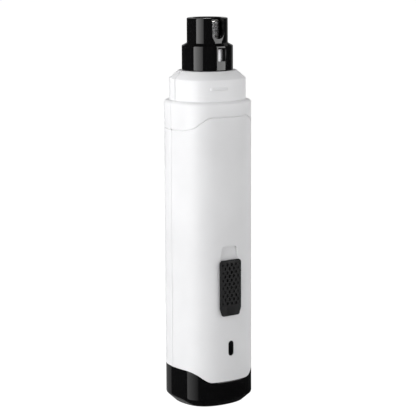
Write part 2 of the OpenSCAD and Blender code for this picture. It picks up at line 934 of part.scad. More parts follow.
// Outline of the button in X and Z, drawn in by `inset`, with rounded corners
function button_outline(inset) =
    let (steps = 8,
         half_x = button_w / 2 - button_corner - inset,
         half_z = button_h / 2 - button_corner - inset,
         mid_z = button_z + button_h / 2)
    [for (quarter = [0 : 3], i = [0 : steps])
        let (a = 90 * quarter + 90 * i / steps,
             side_x = quarter == 0 || quarter == 3 ? 1 : -1,
             side_z = quarter < 2 ? 1 : -1)
        [side_x * half_x + button_corner * cos(a),
         mid_z + side_z * half_z + button_corner * sin(a)]];

// Grip dimples in staggered rows, as short rods into the button's face
module dimples() {
    rows = floor((button_h - dimple_top - button_band_h) / dimple_row_h);
    face = -button_back - button_proud;
    most = floor((button_w - 1) / dimple_pitch) + 1;
    for (row = [0 : rows]) {
        count = row % 2 == 0 ? most : most - 1;
        for (i = [0 : count - 1])
            rod_y(dimple_r, (i - (count - 1) / 2) * dimple_pitch,
                  button_z + button_h - dimple_top - row * dimple_row_h,
                  face - 1, face + dimple_depth);
    }
}

module switch_button() {
    face = -button_back - button_proud;
    over = 0.05;        // the outline stands over the crown, so that the crown shapes it
    color([0.12, 0.12, 0.13]) translate([switch_x, 0, 0]) difference() {
        union() {
            intersection() {
                hull() {
                    through_y(face + button_bevel, -button_back) polygon(button_outline(0));
                    through_y(face - over, -button_back) polygon(button_outline(button_bevel));
                }
                translate([0, face + button_crown_r, 0])
                    cylinder(r = button_crown_r, h = total_h, $fn = 360);
            }
            block(stem_w, -button_back - eps, -carrier_y + carrier_t, stem_z, stem_z + stem_h);
        }
        dimples();
    }
}

module switch_carrier() {
    color([0.2, 0.2, 0.2]) translate([switch_x, 0, 0]) difference() {
        block(carrier_w, -carrier_y, -carrier_y + carrier_t,
              stem_z - carrier_reach, stem_z + stem_h + carrier_reach);
        block(stem_w, -carrier_y - 1, -carrier_y + carrier_t + 1, stem_z, stem_z + stem_h);
    }
}

module switch_knob() {
    mid_z = stem_z + stem_h / 2;
    color("white") translate([switch_x, 0, 0])
        block(knob_w, -carrier_y + carrier_t, board_front - knob_depth,
              mid_z - knob_w / 2, mid_z + knob_w / 2);
}

// ---------- guard ----------

module guard() {
    port_low = total_h - port_h;
    window_low = collar_top + window_up;
    color([0.04, 0.04, 0.05]) difference() {
        union() {
            translate([0, 0, collar_top]) cylinder(r = guard_r, h = guard_low_h);
            translate([0, 0, guard_step_z - eps])
                cylinder(r1 = guard_r, r2 = guard_top_r, h = guard_slope_h + eps);
            translate([0, 0, guard_step_z]) cylinder(r = guard_top_r, h = total_h - guard_step_z);
        }
        translate([0, 0, collar_top - 1])
            cylinder(r = guard_bore_r, h = spigot_top + spigot_seat - collar_top + 1);
        translate([0, 0, spigot_top])
            cylinder(r = guard_top_r - guard_wall, h = total_h - guard_lip_t - spigot_top);
        translate([0, 0, total_h - guard_lip_t - 1])
            cylinder(r = drum_r + guard_lip_gap, h = guard_lip_t + 2);
        rod_y(port_w / 2, 0, port_low + port_w / 2, -guard_r - 1, 0);
        block(port_w, -guard_r - 1, 0, port_low + port_w / 2, total_h + 1);
        block(window_w, -guard_r - 1, 0, window_low, window_low + window_h);
    }
}

front_shell();
rear_shell();
shell_screws();
base_cap();
base_screws();
indicator_lens();
circuit_board();
board_screws();
control_chips();
status_led();
slide_switch_case();
charge_socket();
battery_cradle();
battery_cell();
battery_tab_top();
battery_tab_bottom();
motor_lead_red();
motor_lead_black();
motor_can();
motor_end_cap();
motor_terminals();
motor_magnets();
motor_front_bush();
motor_rear_bush();
motor_bracket();
motor_screws();
motor_damper_front();
motor_damper_rear();
nose_spigot();
guard_grip_ring();
bearing_outer_race();
motor_shaft();
armature_core();
armature_windings();
commutator();
drum_arbor();
bearing_inner_race();
bearing_balls();
drum_core();
abrasive_band();
drum_washer();
drum_screw();
switch_button();
switch_carrier();
switch_knob();
guard();
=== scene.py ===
"""Looks of a cordless pet nail trimmer: white handle, black base, guard and slide button.

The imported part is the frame. The shells, base cap, guard, slide button, indicator lens,
nose spigot and abrasive band are modelled here over their plain forms, and every other
piece keeps its own mesh and gets a finish. Metres, +Z up the handle, front towards -Y.
"""
import json
import logging
import math
from collections.abc import Callable, Iterator
from contextlib import contextmanager
from dataclasses import dataclass, field
from enum import Enum

import bmesh
import bpy
from mathutils import Matrix, Vector


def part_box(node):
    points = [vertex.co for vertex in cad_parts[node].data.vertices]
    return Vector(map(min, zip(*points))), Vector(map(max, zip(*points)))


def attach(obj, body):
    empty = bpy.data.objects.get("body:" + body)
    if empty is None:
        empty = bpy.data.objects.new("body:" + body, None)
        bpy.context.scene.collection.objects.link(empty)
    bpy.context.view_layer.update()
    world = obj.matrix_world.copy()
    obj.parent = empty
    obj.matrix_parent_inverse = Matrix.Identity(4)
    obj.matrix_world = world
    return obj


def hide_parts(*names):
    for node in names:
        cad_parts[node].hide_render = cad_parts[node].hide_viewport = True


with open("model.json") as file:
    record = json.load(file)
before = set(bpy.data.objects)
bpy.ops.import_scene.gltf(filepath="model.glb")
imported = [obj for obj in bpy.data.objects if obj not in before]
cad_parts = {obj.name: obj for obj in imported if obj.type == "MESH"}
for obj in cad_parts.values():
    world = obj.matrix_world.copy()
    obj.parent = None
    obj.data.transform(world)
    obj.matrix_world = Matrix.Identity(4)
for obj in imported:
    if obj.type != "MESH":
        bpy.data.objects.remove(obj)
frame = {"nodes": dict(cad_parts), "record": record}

LOG = logging.getLogger("trimmer")
MM = 0.001
PLAIN_CREASE = 30.0      # degrees past which a carried-over node's edge stays sharp


class Body(Enum):
    """The rigid bodies that a piece can ride on."""

    HANDLE = "handle"
    SPINDLE = "spindle"
    SWITCH = "slide_switch"
    GUARD = "guard"


class Axis(Enum):
    """The direction that a round primitive's axis points in."""

    X = (0.0, math.pi / 2, 0.0)
    Y = (math.pi / 2, 0.0, 0.0)
    Z = (0.0, 0.0, 0.0)


# ---------------------------------------------------------------- modelling


def clear_selection() -> None:
    """Deselect every object."""
    bpy.ops.object.select_all(action="DESELECT")


def make_active(piece: bpy.types.Object) -> None:
    """Select one object alone and make it the active one.

    Args:
        piece: The object to work on.
    """
    clear_selection()
    piece.select_set(True)
    bpy.context.view_layer.objects.active = piece


@contextmanager
def editing(piece: bpy.types.Object) -> Iterator[None]:
    """Hold one object in edit mode while its mesh is shaped.

    Args:
        piece: The object whose mesh is shaped.
    """
    make_active(piece)
    bpy.ops.object.mode_set(mode="EDIT")
    try:
        yield
    finally:
        bpy.ops.object.mode_set(mode="OBJECT")


def pick(piece: bpy.types.Object, wanted: Callable[[Vector], bool]) -> int:
    """Select the vertices whose place passes a test, and the faces that they close.

    Args:
        piece: The object being edited.
        wanted: The test of a vertex's place.

    Returns:
        How many vertices are selected.
    """
    bpy.ops.mesh.select_mode(type="VERT")
    bpy.ops.mesh.select_all(action="DESELECT")
    mesh = bmesh.from_edit_mesh(piece.data)
    for vertex in mesh.verts:
        vertex.select_set(wanted(vertex.co))
    mesh.select_flush(True)
    bmesh.update_edit_mesh(piece.data)
    return sum(vertex.select for vertex in mesh.verts)


def name_new_piece(name: str) -> bpy.types.Object:
    """Name the object that an operator has just added, and its mesh.

    Args:
        name: The piece's name.

    Returns:
        The object.
    """
    piece = bpy.context.active_object
    piece.name = name
    piece.data.name = name
    return piece


def apply_place(piece: bpy.types.Object) -> None:
    """Move an object's place, turn and size into its mesh."""
    make_active(piece)
    bpy.ops.object.transform_apply(location=True, rotation=True, scale=True)


def apply_modifier(piece: bpy.types.Object, kind: str, **settings: object) -> None:
    """Add a modifier with its settings and apply it.

    Args:
        piece: The object to modify.
        kind: The modifier's type, such as BEVEL.
        settings: The modifier's properties and their values.
    """
    make_active(piece)
    bpy.ops.object.modifier_add(type=kind)
    modifier = piece.modifiers[-1]
    for key, value in settings.items():
        setattr(modifier, key, value)
    bpy.ops.object.modifier_apply(modifier=modifier.name)


def face_outwards(piece: bpy.types.Object, gap: float = 0.001 * MM) -> None:
    """Merge a closed mesh's doubles and turn its faces outwards.

    Args:
        piece: The object to mend.
        gap: Vertices nearer than this become one.
    """
    with editing(piece):
        bpy.ops.mesh.select_all(action="SELECT")
        bpy.ops.mesh.remove_doubles(threshold=gap)
        bpy.ops.mesh.normals_make_consistent(inside=False)


def discard(piece: bpy.types.Object) -> None:
    """Delete an object that has done its work.

    Args:
        piece: The object to delete.
    """
    make_active(piece)
    bpy.ops.object.delete()


def duplicate(piece: bpy.types.Object) -> bpy.types.Object:
    """Add a copy of an object with a mesh of its own.

    Args:
        piece: The object to copy.

    Returns:
        The copy.
    """
    copy = piece.copy()
    copy.data = piece.data.copy()
    bpy.context.collection.objects.link(copy)
    return copy


def combine(piece: bpy.types.Object, other: bpy.types.Object, operation: str) -> None:
    """Combine one closed mesh with another, then throw the other away.

    Args:
        piece: The object that is changed.
        other: The object that changes it.
        operation: The Boolean operation: UNION, DIFFERENCE or INTERSECT.
    """
    apply_modifier(piece, "BOOLEAN", operation=operation, solver="EXACT", object=other)
    discard(other)


def carve(piece: bpy.types.Object, cutter: bpy.types.Object) -> None:
    """Cut one closed mesh out of another, then throw the cutter away.

    Args:
        piece: The object that is cut.
        cutter: The object that cuts.
    """
    combine(piece, cutter, "DIFFERENCE")


def join(pieces: list[bpy.types.Object]) -> bpy.types.Object:
    """Join several objects into the first of them.

    Args:
        pieces: The objects, of which the first is kept.

    Returns:
        The joined object.
    """
    make_active(pieces[0])
    for piece in pieces:
        piece.select_set(True)
    bpy.ops.object.join()
    return pieces[0]


def block(name: str, low: Vector, high: Vector) -> bpy.types.Object:
    """Add a box between two corners.

    Args:
        name: The piece's name.
        low: Its lowest corner.
        high: Its highest corner.

    Returns:
        The box.
    """
    clear_selection()
    bpy.ops.mesh.primitive_cube_add(size=1, location=(low + high) / 2, scale=high - low)
    piece = name_new_piece(name)
    apply_place(piece)
    return piece


def rod(name: str, radius: float, start: Vector, length: float, axis: Axis,
        sides: int = 48) -> bpy.types.Object:
    """Add a round rod that starts at a point and runs along an axis.

    Args:
        name: The piece's name.
        radius: The rod's radius.
        start: The centre of its lower end.
        length: Its length.
        axis: The axis that it runs along.
        sides: How many sides stand for the circle.

    Returns:
        The rod.
    """
    along = {Axis.X: Vector((1, 0, 0)), Axis.Y: Vector((0, 1, 0)), Axis.Z: Vector((0, 0, 1))}
    clear_selection()
    bpy.ops.mesh.primitive_cylinder_add(vertices=sides, radius=radius, depth=length,
                                        location=start + along[axis] * length / 2,
                                        rotation=axis.value)
    piece = name_new_piece(name)
    apply_place(piece)
    return piece


@dataclass(frozen=True)
class Ring:
    """One level of a lofted form.

    Attributes:
        z: Height of the ring.
        half_x: Half its width.
        half_y: Half its depth.
        is_circle: Whether the ring is drawn into a true circle.
    """

    z: float
    half_x: float
    half_y: float
    is_circle: bool = False


def draw_circle(name: str, ring: Ring, sides: int = 128) -> bpy.types.Object:
    """Add a round outline at a ring's size and height.

    Args:
        name: The piece's name.
        ring: The first ring of the form.
        sides: How many sides stand for the circle.

    Returns:
        The outline.
    """
    clear_selection()
    bpy.ops.mesh.primitive_circle_add(vertices=sides, radius=1, location=(0, 0, ring.z))
    piece = name_new_piece(name)
    piece.scale = (ring.half_x, ring.half_y, 1)
    apply_place(piece)
    return piece


def draw_section(name: str, ring: Ring) -> bpy.types.Object:
    """Add the handle's section, a circle pulled out towards a square, at a ring's size.

    Args:
        name: The piece's name.
        ring: The first ring of the form.

    Returns:
        The outline.
    """
    pull = 1.2452          # how much longer the handles are than a circle's
    steps_per_quarter = 32
    clear_selection()
    bpy.ops.curve.primitive_bezier_circle_add(radius=1, location=(0, 0, ring.z))
    curve = bpy.context.active_object
    curve.data.resolution_u = steps_per_quarter
    for point in curve.data.splines[0].bezier_points:
        point.handle_left_type = "FREE"
        point.handle_right_type = "FREE"
        point.handle_left = point.co + (point.handle_left - point.co) * pull
        point.handle_right = point.co + (point.handle_right - point.co) * pull
    bpy.ops.object.convert(target="MESH")
    piece = name_new_piece(name)
    piece.scale = (ring.half_x, ring.half_y, 1)
    apply_place(piece)
    with editing(piece):
        bpy.ops.mesh.select_all(action="SELECT")
        bpy.ops.mesh.remove_doubles(threshold=0.001 * MM)
    return piece


def loft(piece: bpy.types.Object, rings: list[Ring], is_capped: bool = False) -> None:
    """Extrude an outline through a list of rings, resizing it at each.

    Args:
        piece: The outline, which lies at the first ring.
        rings: The rings from first to last.
        is_capped: Whether the first and last rings are filled.
    """
    with editing(piece):
        bpy.ops.mesh.select_all(action="SELECT")
        if is_capped:
            bpy.ops.mesh.edge_face_add()
            bpy.ops.mesh.select_all(action="SELECT")
        for last, ring in zip(rings, rings[1:]):
            bpy.ops.mesh.extrude_region_move(
                TRANSFORM_OT_translate={"value": (0, 0, ring.z - last.z)})
            if ring.is_circle:
                bpy.ops.transform.tosphere(value=1)
                mesh = bmesh.from_edit_mesh(piece.data)
                reach = max(v.co.xy.length for v in mesh.verts if v.select)
                scale = (ring.half_x / reach, ring.half_y / reach, 1)
            else:
                scale = (ring.half_x / last.half_x, ring.half_y / last.half_y, 1)
            bpy.ops.transform.resize(value=scale)
    face_outwards(piece)


def turned(name: str, profile: list[tuple[float, float]], sides: int = 128) -> bpy.types.Object:
    """Turn a closed profile about the handle's axis.

    Args:
        name: The piece's name.
        profile: Height and radius of each corner, from first round to last.
        sides: How many sides stand for the circle.

    Returns:
        The turned piece.
    """
    rings = [Ring(z, radius, radius) for z, radius in [*profile, profile[0]]]
    piece = draw_circle(name, rings[0], sides)
    loft(piece, rings)
    return piece


def smooth(piece: bpy.types.Object, crease: float = 32.0) -> None:
    """Shade a piece smooth, apart from its creases.

    Args:
        piece: The piece to shade.
        crease: The angle in degrees past which an edge stays sharp.
    """
    make_active(piece)
    bpy.ops.object.shade_smooth_by_angle(angle=math.radians(crease))


def soften_edges(piece: bpy.types.Object, width: float, angle: float, segments: int = 2) -> None:
    """Round the edges that turn through more than an angle.

    Args:
        piece: The piece whose edges are rounded.
        width: The rounding's width.
        angle: The least turn in degrees of an edge that is rounded.
        segments: How many strips make the rounding.
    """
    apply_modifier(piece, "BEVEL", width=width, segments=segments, limit_method="ANGLE",
                   angle_limit=math.radians(angle), harden_normals=False)


# ---------------------------------------------------------------- materials


class Graph:
    """A shader graph that is built up node by node."""

    def __init__(self, tree: bpy.types.NodeTree) -> None:
        """Start on an emptied node tree.

        Args:
            tree: The tree of a material or a group.
        """
        self.tree = tree
        tree.nodes.clear()

    def add(self, kind: str, inputs: dict[str | int, object] | None = None,
            **settings: object) -> bpy.types.Node:
        """Add a node, set its properties, and set or link its inputs.

        Args:
            kind: The node's type.
            inputs: A value or an output socket for each named or numbered input.
            settings: The node's properties and their values.

        Returns:
            The node.
        """
        node = self.tree.nodes.new(kind)
        for key, value in settings.items():
            setattr(node, key, value)
        for key, value in (inputs or {}).items():
            if isinstance(value, bpy.types.NodeSocket):
                self.tree.links.new(value, node.inputs[key])
            else:
                node.inputs[key].default_value = value
        return node

    def place(self) -> bpy.types.NodeSocket:
        """Return the piece's own coordinates, in metres."""
        return self.add("ShaderNodeTexCoord").outputs["Object"]

    def maths(self, operation: str, *values: object) -> bpy.types.NodeSocket:
        """Return the result of one sum on values or sockets.

        Args:
            operation: The Math node's operation.
            values: Its inputs in order.

        Returns:
            The output socket.
        """
        node = self.add("ShaderNodeMath", dict(enumerate(values)), operation=operation)
        return node.outputs[0]

    def noise(self, scale: float, detail: float = 2.0,
              place: bpy.types.NodeSocket | None = None) -> bpy.types.NodeSocket:
        """Return a noise value over the piece.

        Args:
            scale: Features per metre.
            detail: How many finer layers the noise has.
            place: The coordinates to read, or the piece's own.

        Returns:
            The output socket.
        """
        node = self.add("ShaderNodeTexNoise",
                        {"Vector": place or self.place(), "Scale": scale, "Detail": detail})
        return node.outputs["Fac"]

    def spread(self, value: bpy.types.NodeSocket, low: float, high: float,
               to_low: float = 0.0, to_high: float = 1.0) -> bpy.types.NodeSocket:
        """Return a value moved from one range to another.

        Args:
            value: The value to move.
            low: The start of its range.
            high: The end of its range.
            to_low: What the start becomes.
            to_high: What the end becomes.

        Returns:
            The output socket.
        """
        node = self.add("ShaderNodeMapRange",
                        {"Value": value, "From Min": low, "From Max": high,
                         "To Min": to_low, "To Max": to_high})
        return node.outputs["Result"]

    def mix(self, share: object, first: object, second: object) -> bpy.types.NodeSocket:
        """Return one colour blended into another.

        Args:
            share: How much of the second colour shows.
            first: A colour or a colour socket.
            second: A colour or a colour socket.

        Returns:
            The output socket.
        """
        node = self.add("ShaderNodeMix", {0: share}, data_type="RGBA")
        for key, value in ((6, first), (7, second)):
            if isinstance(value, bpy.types.NodeSocket):
                self.tree.links.new(value, node.inputs[key])
            else:
                node.inputs[key].default_value = value
        return node.outputs[2]


def new_group(name: str, inputs: dict[str, float], outputs: list[str]) -> bpy.types.NodeTree:
    """Make a shader node group with float inputs and outputs.

    Args:
        name: The group's name.
        inputs: Each input's name and default value.
        outputs: Each output's name.

    Returns:
        The group, with nothing in it yet.
    """
    group = bpy.data.node_groups.new(name, "ShaderNodeTree")
    for key, value in inputs.items():
        socket = group.interface.new_socket(key, in_out="INPUT", socket_type="NodeSocketFloat")
        socket.default_value = value
    for key in outputs:
        group.interface.new_socket(key, in_out="OUTPUT", socket_type="NodeSocketFloat")
    return group


def moulded_grain() -> bpy.types.NodeTree:
    """Make the fine grain and faint flow marks of a moulded surface.

    Returns:
        A group that puts out a height and a roughness offset, both about zero.
    """
    group = new_group("moulded_grain", {"Scale": 2500.0}, ["Height", "Roughness"])
    graph = Graph(group)
    source = graph.add("NodeGroupInput")
    place = graph.place()
    fine = graph.add("ShaderNodeTexNoise", {"Vector": place, "Scale": source.outputs["Scale"],
                                            "Detail": 3.0})
    broad = graph.noise(55.0, 3.0, place)
    grain = graph.spread(fine.outputs["Fac"], 0.3, 0.7, -0.5, 0.5)
    flow = graph.spread(broad, 0.3, 0.7, -0.5, 0.5)
    rough = graph.maths("ADD", graph.maths("MULTIPLY", grain, 0.35), flow)
    graph.add("NodeGroupOutput", {"Height": grain, "Roughness": rough})
    return group


def edge_wear() -> bpy.types.NodeTree:
    """Make a mask of the edges, which finishes use for rubbed wear and for painted edge shade.

    Returns:
        A group that puts out 1 on a picked-out edge and 0 elsewhere.
    """
    group = new_group("edge_wear", {"Radius": 0.3 * MM, "Amount": 0.5}, ["Mask"])
    graph = Graph(group)
    source = graph.add("NodeGroupInput")
    rounded = graph.add("ShaderNodeBevel", {"Radius": source.outputs["Radius"]}, samples=4)
    plain = graph.add("ShaderNodeNewGeometry")
    match = graph.add("ShaderNodeVectorMath",
                      {0: rounded.outputs["Normal"], 1: plain.outputs["Normal"]},
                      operation="DOT_PRODUCT")
    edge = graph.spread(match.outputs["Value"], 0.995, 0.9)
    patchy = graph.spread(graph.noise(420.0, 4.0), 0.38, 0.62)
    mask = graph.maths("MULTIPLY", graph.maths("MULTIPLY", edge, patchy), source.outputs["Amount"])
    graph.add("NodeGroupOutput", {"Mask": mask})
    return group


def settled_dust() -> bpy.types.NodeTree:
    """Make a mask of the dust that settles on what faces up.

    Returns:
        A group that puts out 1 where dust lies thick.
    """
    group = new_group("settled_dust", {"Amount": 0.2}, ["Mask"])
    graph = Graph(group)
    source = graph.add("NodeGroupInput")
    normal = graph.add("ShaderNodeSeparateXYZ",
                       {0: graph.add("ShaderNodeNewGeometry").outputs["Normal"]})
    facing_up = graph.spread(normal.outputs["Z"], 0.35, 1.0)
    specks = graph.spread(graph.noise(1400.0, 4.0), 0.45, 0.75)
    mask = graph.maths("MULTIPLY", graph.maths("MULTIPLY", facing_up, specks),
                       source.outputs["Amount"])
    graph.add("NodeGroupOutput", {"Mask": mask})
    return group


class Groups:
    """The shader node groups that several finishes share, each built once."""

    _built: dict[str, bpy.types.NodeTree] = {}

    @classmethod
    def get(cls, maker: Callable[[], bpy.types.NodeTree]) -> bpy.types.NodeTree:
        """Return a group, building it at its first use.

        Args:
            maker: The function that builds the group.

        Returns:
            The group.
        """
        if maker.__name__ not in cls._built:
            cls._built[maker.__name__] = maker()
        return cls._built[maker.__name__]


class Finish:
    """A finish that can be made into a material once."""

    name: str

    def graph(self) -> tuple[bpy.types.Material, Graph]:
        """Return a new material and its emptied graph."""
        material = bpy.data.materials.new(self.name)
        material.use_nodes = True
        return material, Graph(material.node_tree)

    def grain_node(self, graph: Graph, scale: float) -> bpy.types.Node:
        """Return the moulded grain's node at a scale.

        Args:
            graph: The material's graph.
            scale: The grain's features per metre.

        Returns:
            The group's node.
        """
        return graph.add("ShaderNodeGroup", {"Scale": scale},
                         node_tree=Groups.get(moulded_grain))

    def wear_and_shade_mask(self, graph: Graph, radius: float, amount: float) -> bpy.types.NodeSocket:
        """Return the mask of edge wear and of painted edge shade.

        Args:
            graph: The material's graph.
            radius: How far from an edge the wear and painted shade reach.
            amount: How strong it is.

        Returns:
            The mask's socket.
        """
        node = graph.add("ShaderNodeGroup", {"Radius": radius, "Amount": amount},
                         node_tree=Groups.get(edge_wear))
        return node.outputs["Mask"]

    def dust_mask(self, graph: Graph, amount: float) -> bpy.types.NodeSocket:
        """Return the dust's mask.

        Args:
            graph: The material's graph.
            amount: How thick the dust lies.

        Returns:
            The mask's socket.
        """
        node = graph.add("ShaderNodeGroup", {"Amount": amount},
                         node_tree=Groups.get(settled_dust))
        return node.outputs["Mask"]

    def finish(self, graph: Graph, inputs: dict[str, object]) -> None:
        """End a graph in one Principled shader.

        Args:
            graph: The material's graph.
            inputs: The shader's inputs.
        """
        shader = graph.add("ShaderNodeBsdfPrincipled", inputs)
        graph.add("ShaderNodeOutputMaterial", {"Surface": shader.outputs[0]})


def rgba(value: tuple[float, float, float]) -> tuple[float, float, float, float]:
    """Return a colour with full alpha."""
    return (*value, 1.0)


@dataclass(frozen=True)
class Moulded(Finish):
    """A moulded plastic or rubber with grain, edge wear (painted edge shade on grip_black) and a
    trace of dust.

    Attributes:
        name: The material's name.
        colour: Its colour.
        wear_and_shade_tint: Its colour on the masked edges: rubbed wear on most finishes, painted
            dark shade on grip_black.
        roughness: Its mean roughness.
        vary: How far the roughness varies.
        grain_scale: Grain features per metre.
        relief: Height of the grain.
        coat: Weight of a clear gloss over it.
        wear_and_shade_amount: How strong the edge wear is.
        dust_amount: How thick the dust lies.
        specular: Specular level.
    """

    name: str
    colour: tuple[float, float, float]
    wear_and_shade_tint: tuple[float, float, float]
    roughness: float
    vary: float = 0.06
    grain_scale: float = 2500.0
    relief: float = 0.004 * MM
    coat: float = 0.0
    # wear_and_shade_amount: How strong the edge tint is, wear and painted shade alike.
    wear_and_shade_amount: float = 0.35
    dust_amount: float = 0.08
    specular: float = 0.5

    def make(self) -> bpy.types.Material:
        """Return the material."""
        material, graph = self.graph()
        grain = self.grain_node(graph, self.grain_scale)
        cloud = graph.spread(graph.noise(30.0, 3.0), 0.35, 0.65)
        deeper = tuple(channel * 0.94 for channel in self.colour)
        base = graph.mix(cloud, rgba(self.colour), rgba(deeper))
        # Masked edges take the edge tint: rubbed wear on most finishes, painted dark shade on
        # grip_black.
        wear_and_shade_tint = graph.mix(self.wear_and_shade_mask(graph, 0.25 * MM, self.wear_and_shade_amount), base, rgba(self.wear_and_shade_tint))
        dusty = graph.mix(self.dust_mask(graph, self.dust_amount), wear_and_shade_tint, rgba((0.55, 0.53, 0.5)))
        rough = graph.maths("MULTIPLY_ADD", grain.outputs["Roughness"], self.vary, self.roughness)
        bump = graph.add("ShaderNodeBump", {"Height": grain.outputs["Height"],
                                            "Distance": self.relief, "Strength": 1.0})
        self.finish(graph, {"Base Color": dusty, "Roughness": rough,
                            "Normal": bump.outputs["Normal"], "Coat Weight": self.coat,
                            "Coat Roughness": 0.06, "Specular IOR Level": self.specular})
        return material


@dataclass(frozen=True)
class Metal(Finish):
    """A turned, drawn or plated metal with fine tool marks.

    Attributes:
        name: The material's name.
        colour: Its colour.
        roughness: Its mean roughness.
        marks: How strongly the tool marks run round the axis.
        stain: Its colour where it has tarnished.
        metallic: How metallic it is.
        stretch: How many times finer the marks are along Z than across.
    """

    name: str
    colour: tuple[float, float, float]
    roughness: float
    marks: float = 0.12
    stain: tuple[float, float, float] = (0.3, 0.28, 0.26)
    metallic: float = 1.0
    stretch: float = 30.0

    def make(self) -> bpy.types.Material:
        """Return the material."""
        material, graph = self.graph()
        lines = graph.add("ShaderNodeMapping", {"Vector": graph.place(),
                                                "Scale": (1, 1, self.stretch)})
        tool = graph.noise(260.0, 3.0, lines.outputs["Vector"])
        patches = graph.spread(graph.noise(160.0, 4.0), 0.55, 0.8, 0.0, 0.35)
        colour = graph.mix(patches, rgba(self.colour), rgba(self.stain))
        bright = tuple(min(1.0, channel * 1.25) for channel in self.colour)
        wear_and_shade_tint = graph.mix(self.wear_and_shade_mask(graph, 0.2 * MM, 0.5), colour, rgba(bright))
        spread = graph.spread(tool, 0.3, 0.7, -self.marks, self.marks)
        rough = graph.maths("ADD", spread, self.roughness)
        bump = graph.add("ShaderNodeBump", {"Height": tool, "Distance": 0.004 * MM,
                                            "Strength": 0.6})
        self.finish(graph, {"Base Color": wear_and_shade_tint, "Roughness": rough, "Metallic": self.metallic,
                            "Normal": bump.outputs["Normal"]})
        return material


@dataclass(frozen=True)
class Grit(Finish):
    """Abrasive grains bonded to a sleeve, with bright facets between dark bond.

    Attributes:
        name: The material's name.
        grain: The grains' colour.
        bond: The bond's colour between them.
        scale: Grains per metre.
    """

    name: str
    grain: tuple[float, float, float]
    bond: tuple[float, float, float]
    scale: float = 2200.0

    def make(self) -> bpy.types.Material:
        """Return the material."""
        material, graph = self.graph()
        cells = graph.add("ShaderNodeTexVoronoi", {"Vector": graph.place(), "Scale": self.scale})
        distance = graph.spread(cells.outputs["Distance"], 0.15, 0.6)
        tone = graph.add("ShaderNodeSeparateColor", {0: cells.outputs["Color"]})
        facet = graph.mix(graph.spread(tone.outputs[0], 0.0, 1.0, 0.0, 0.7),
                          rgba(self.grain), rgba((0.85, 0.85, 0.86)))
        colour = graph.mix(distance, facet, rgba(self.bond))
        rough = graph.spread(tone.outputs[1], 0.0, 1.0, 0.25, 0.7)
        metal = graph.spread(distance, 0.0, 1.0, 0.3, 0.1)
        height = graph.maths("SUBTRACT", 1.0, distance)
        bump = graph.add("ShaderNodeBump", {"Height": height, "Distance": 0.12 * MM,
                                            "Strength": 0.9})
        self.finish(graph, {"Base Color": colour, "Roughness": rough, "Metallic": metal,
                            "Normal": bump.outputs["Normal"]})
        return material


@dataclass(frozen=True)
class Banded(Finish):
    """A stack or winding whose fine bands run across one direction.

    Attributes:
        name: The material's name.
        colour: The bands' colour.
        gap: The colour between them.
        pitch: The distance from band to band.
        direction: The Wave texture's direction, X, Y or Z.
        roughness: Its roughness.
    """

    name: str
    colour: tuple[float, float, float]
    gap: tuple[float, float, float]
    pitch: float
    direction: str = "Z"
    roughness: float = 0.35

    def make(self) -> bpy.types.Material:
        """Return the material."""
        material, graph = self.graph()
        waves_per_scale = 3.1831      # the texture's bands per unit at a scale of 10
        wave = graph.add("ShaderNodeTexWave",
                         {"Vector": graph.place(),
                          "Scale": 1 / (self.pitch * waves_per_scale), "Distortion": 0.4,
                          "Detail": 1.0},
                         bands_direction=self.direction)
        line = graph.spread(wave.outputs["Fac"], 0.1, 0.6)
        varied = graph.mix(graph.noise(900.0, 2.0), rgba(self.colour),
                           rgba(tuple(channel * 0.8 for channel in self.colour)))
        colour = graph.mix(line, rgba(self.gap), varied)
        rough = graph.spread(graph.noise(600.0, 3.0), 0.3, 0.7, self.roughness - 0.08,
                             self.roughness + 0.12)
        bump = graph.add("ShaderNodeBump", {"Height": line, "Distance": self.pitch * 0.3,
                                            "Strength": 0.7})
        self.finish(graph, {"Base Color": colour, "Roughness": rough, "Metallic": 0.9,
                            "Normal": bump.outputs["Normal"]})
        return material


@dataclass(frozen=True)
class Board(Finish):
    """Solder mask over copper tracks.

    Attributes:
        name: The material's name.
        mask: The solder mask's colour.
        track: Its colour over a track.
    """

    name: str
    mask: tuple[float, float, float]
    track: tuple[float, float, float]

    def make(self) -> bpy.types.Material:
        """Return the material."""
        material, graph = self.graph()
        turned_up = graph.add("ShaderNodeMapping", {"Vector": graph.place(),
                                                    "Rotation": (math.pi / 2, 0, 0)})
        tracks = graph.add("ShaderNodeTexBrick",
                           {"Vector": turned_up.outputs["Vector"], "Scale": 260.0,
                            "Mortar Size": 0.06, "Mortar Smooth": 0.3,
                            "Brick Width": 0.9, "Row Height": 0.35})
        fog = graph.noise(140.0, 3.0)
        mask = graph.mix(fog, rgba(self.mask), rgba(tuple(c * 0.7 for c in self.mask)))
        colour = graph.mix(tracks.outputs["Fac"], mask, rgba(self.track))
        rough = graph.spread(fog, 0.3, 0.7, 0.22, 0.38)
        bump = graph.add("ShaderNodeBump", {"Height": tracks.outputs["Fac"],
                                            "Distance": 0.03 * MM, "Strength": 0.8})
        self.finish(graph, {"Base Color": colour, "Roughness": rough,
                            "Normal": bump.outputs["Normal"]})
        return material


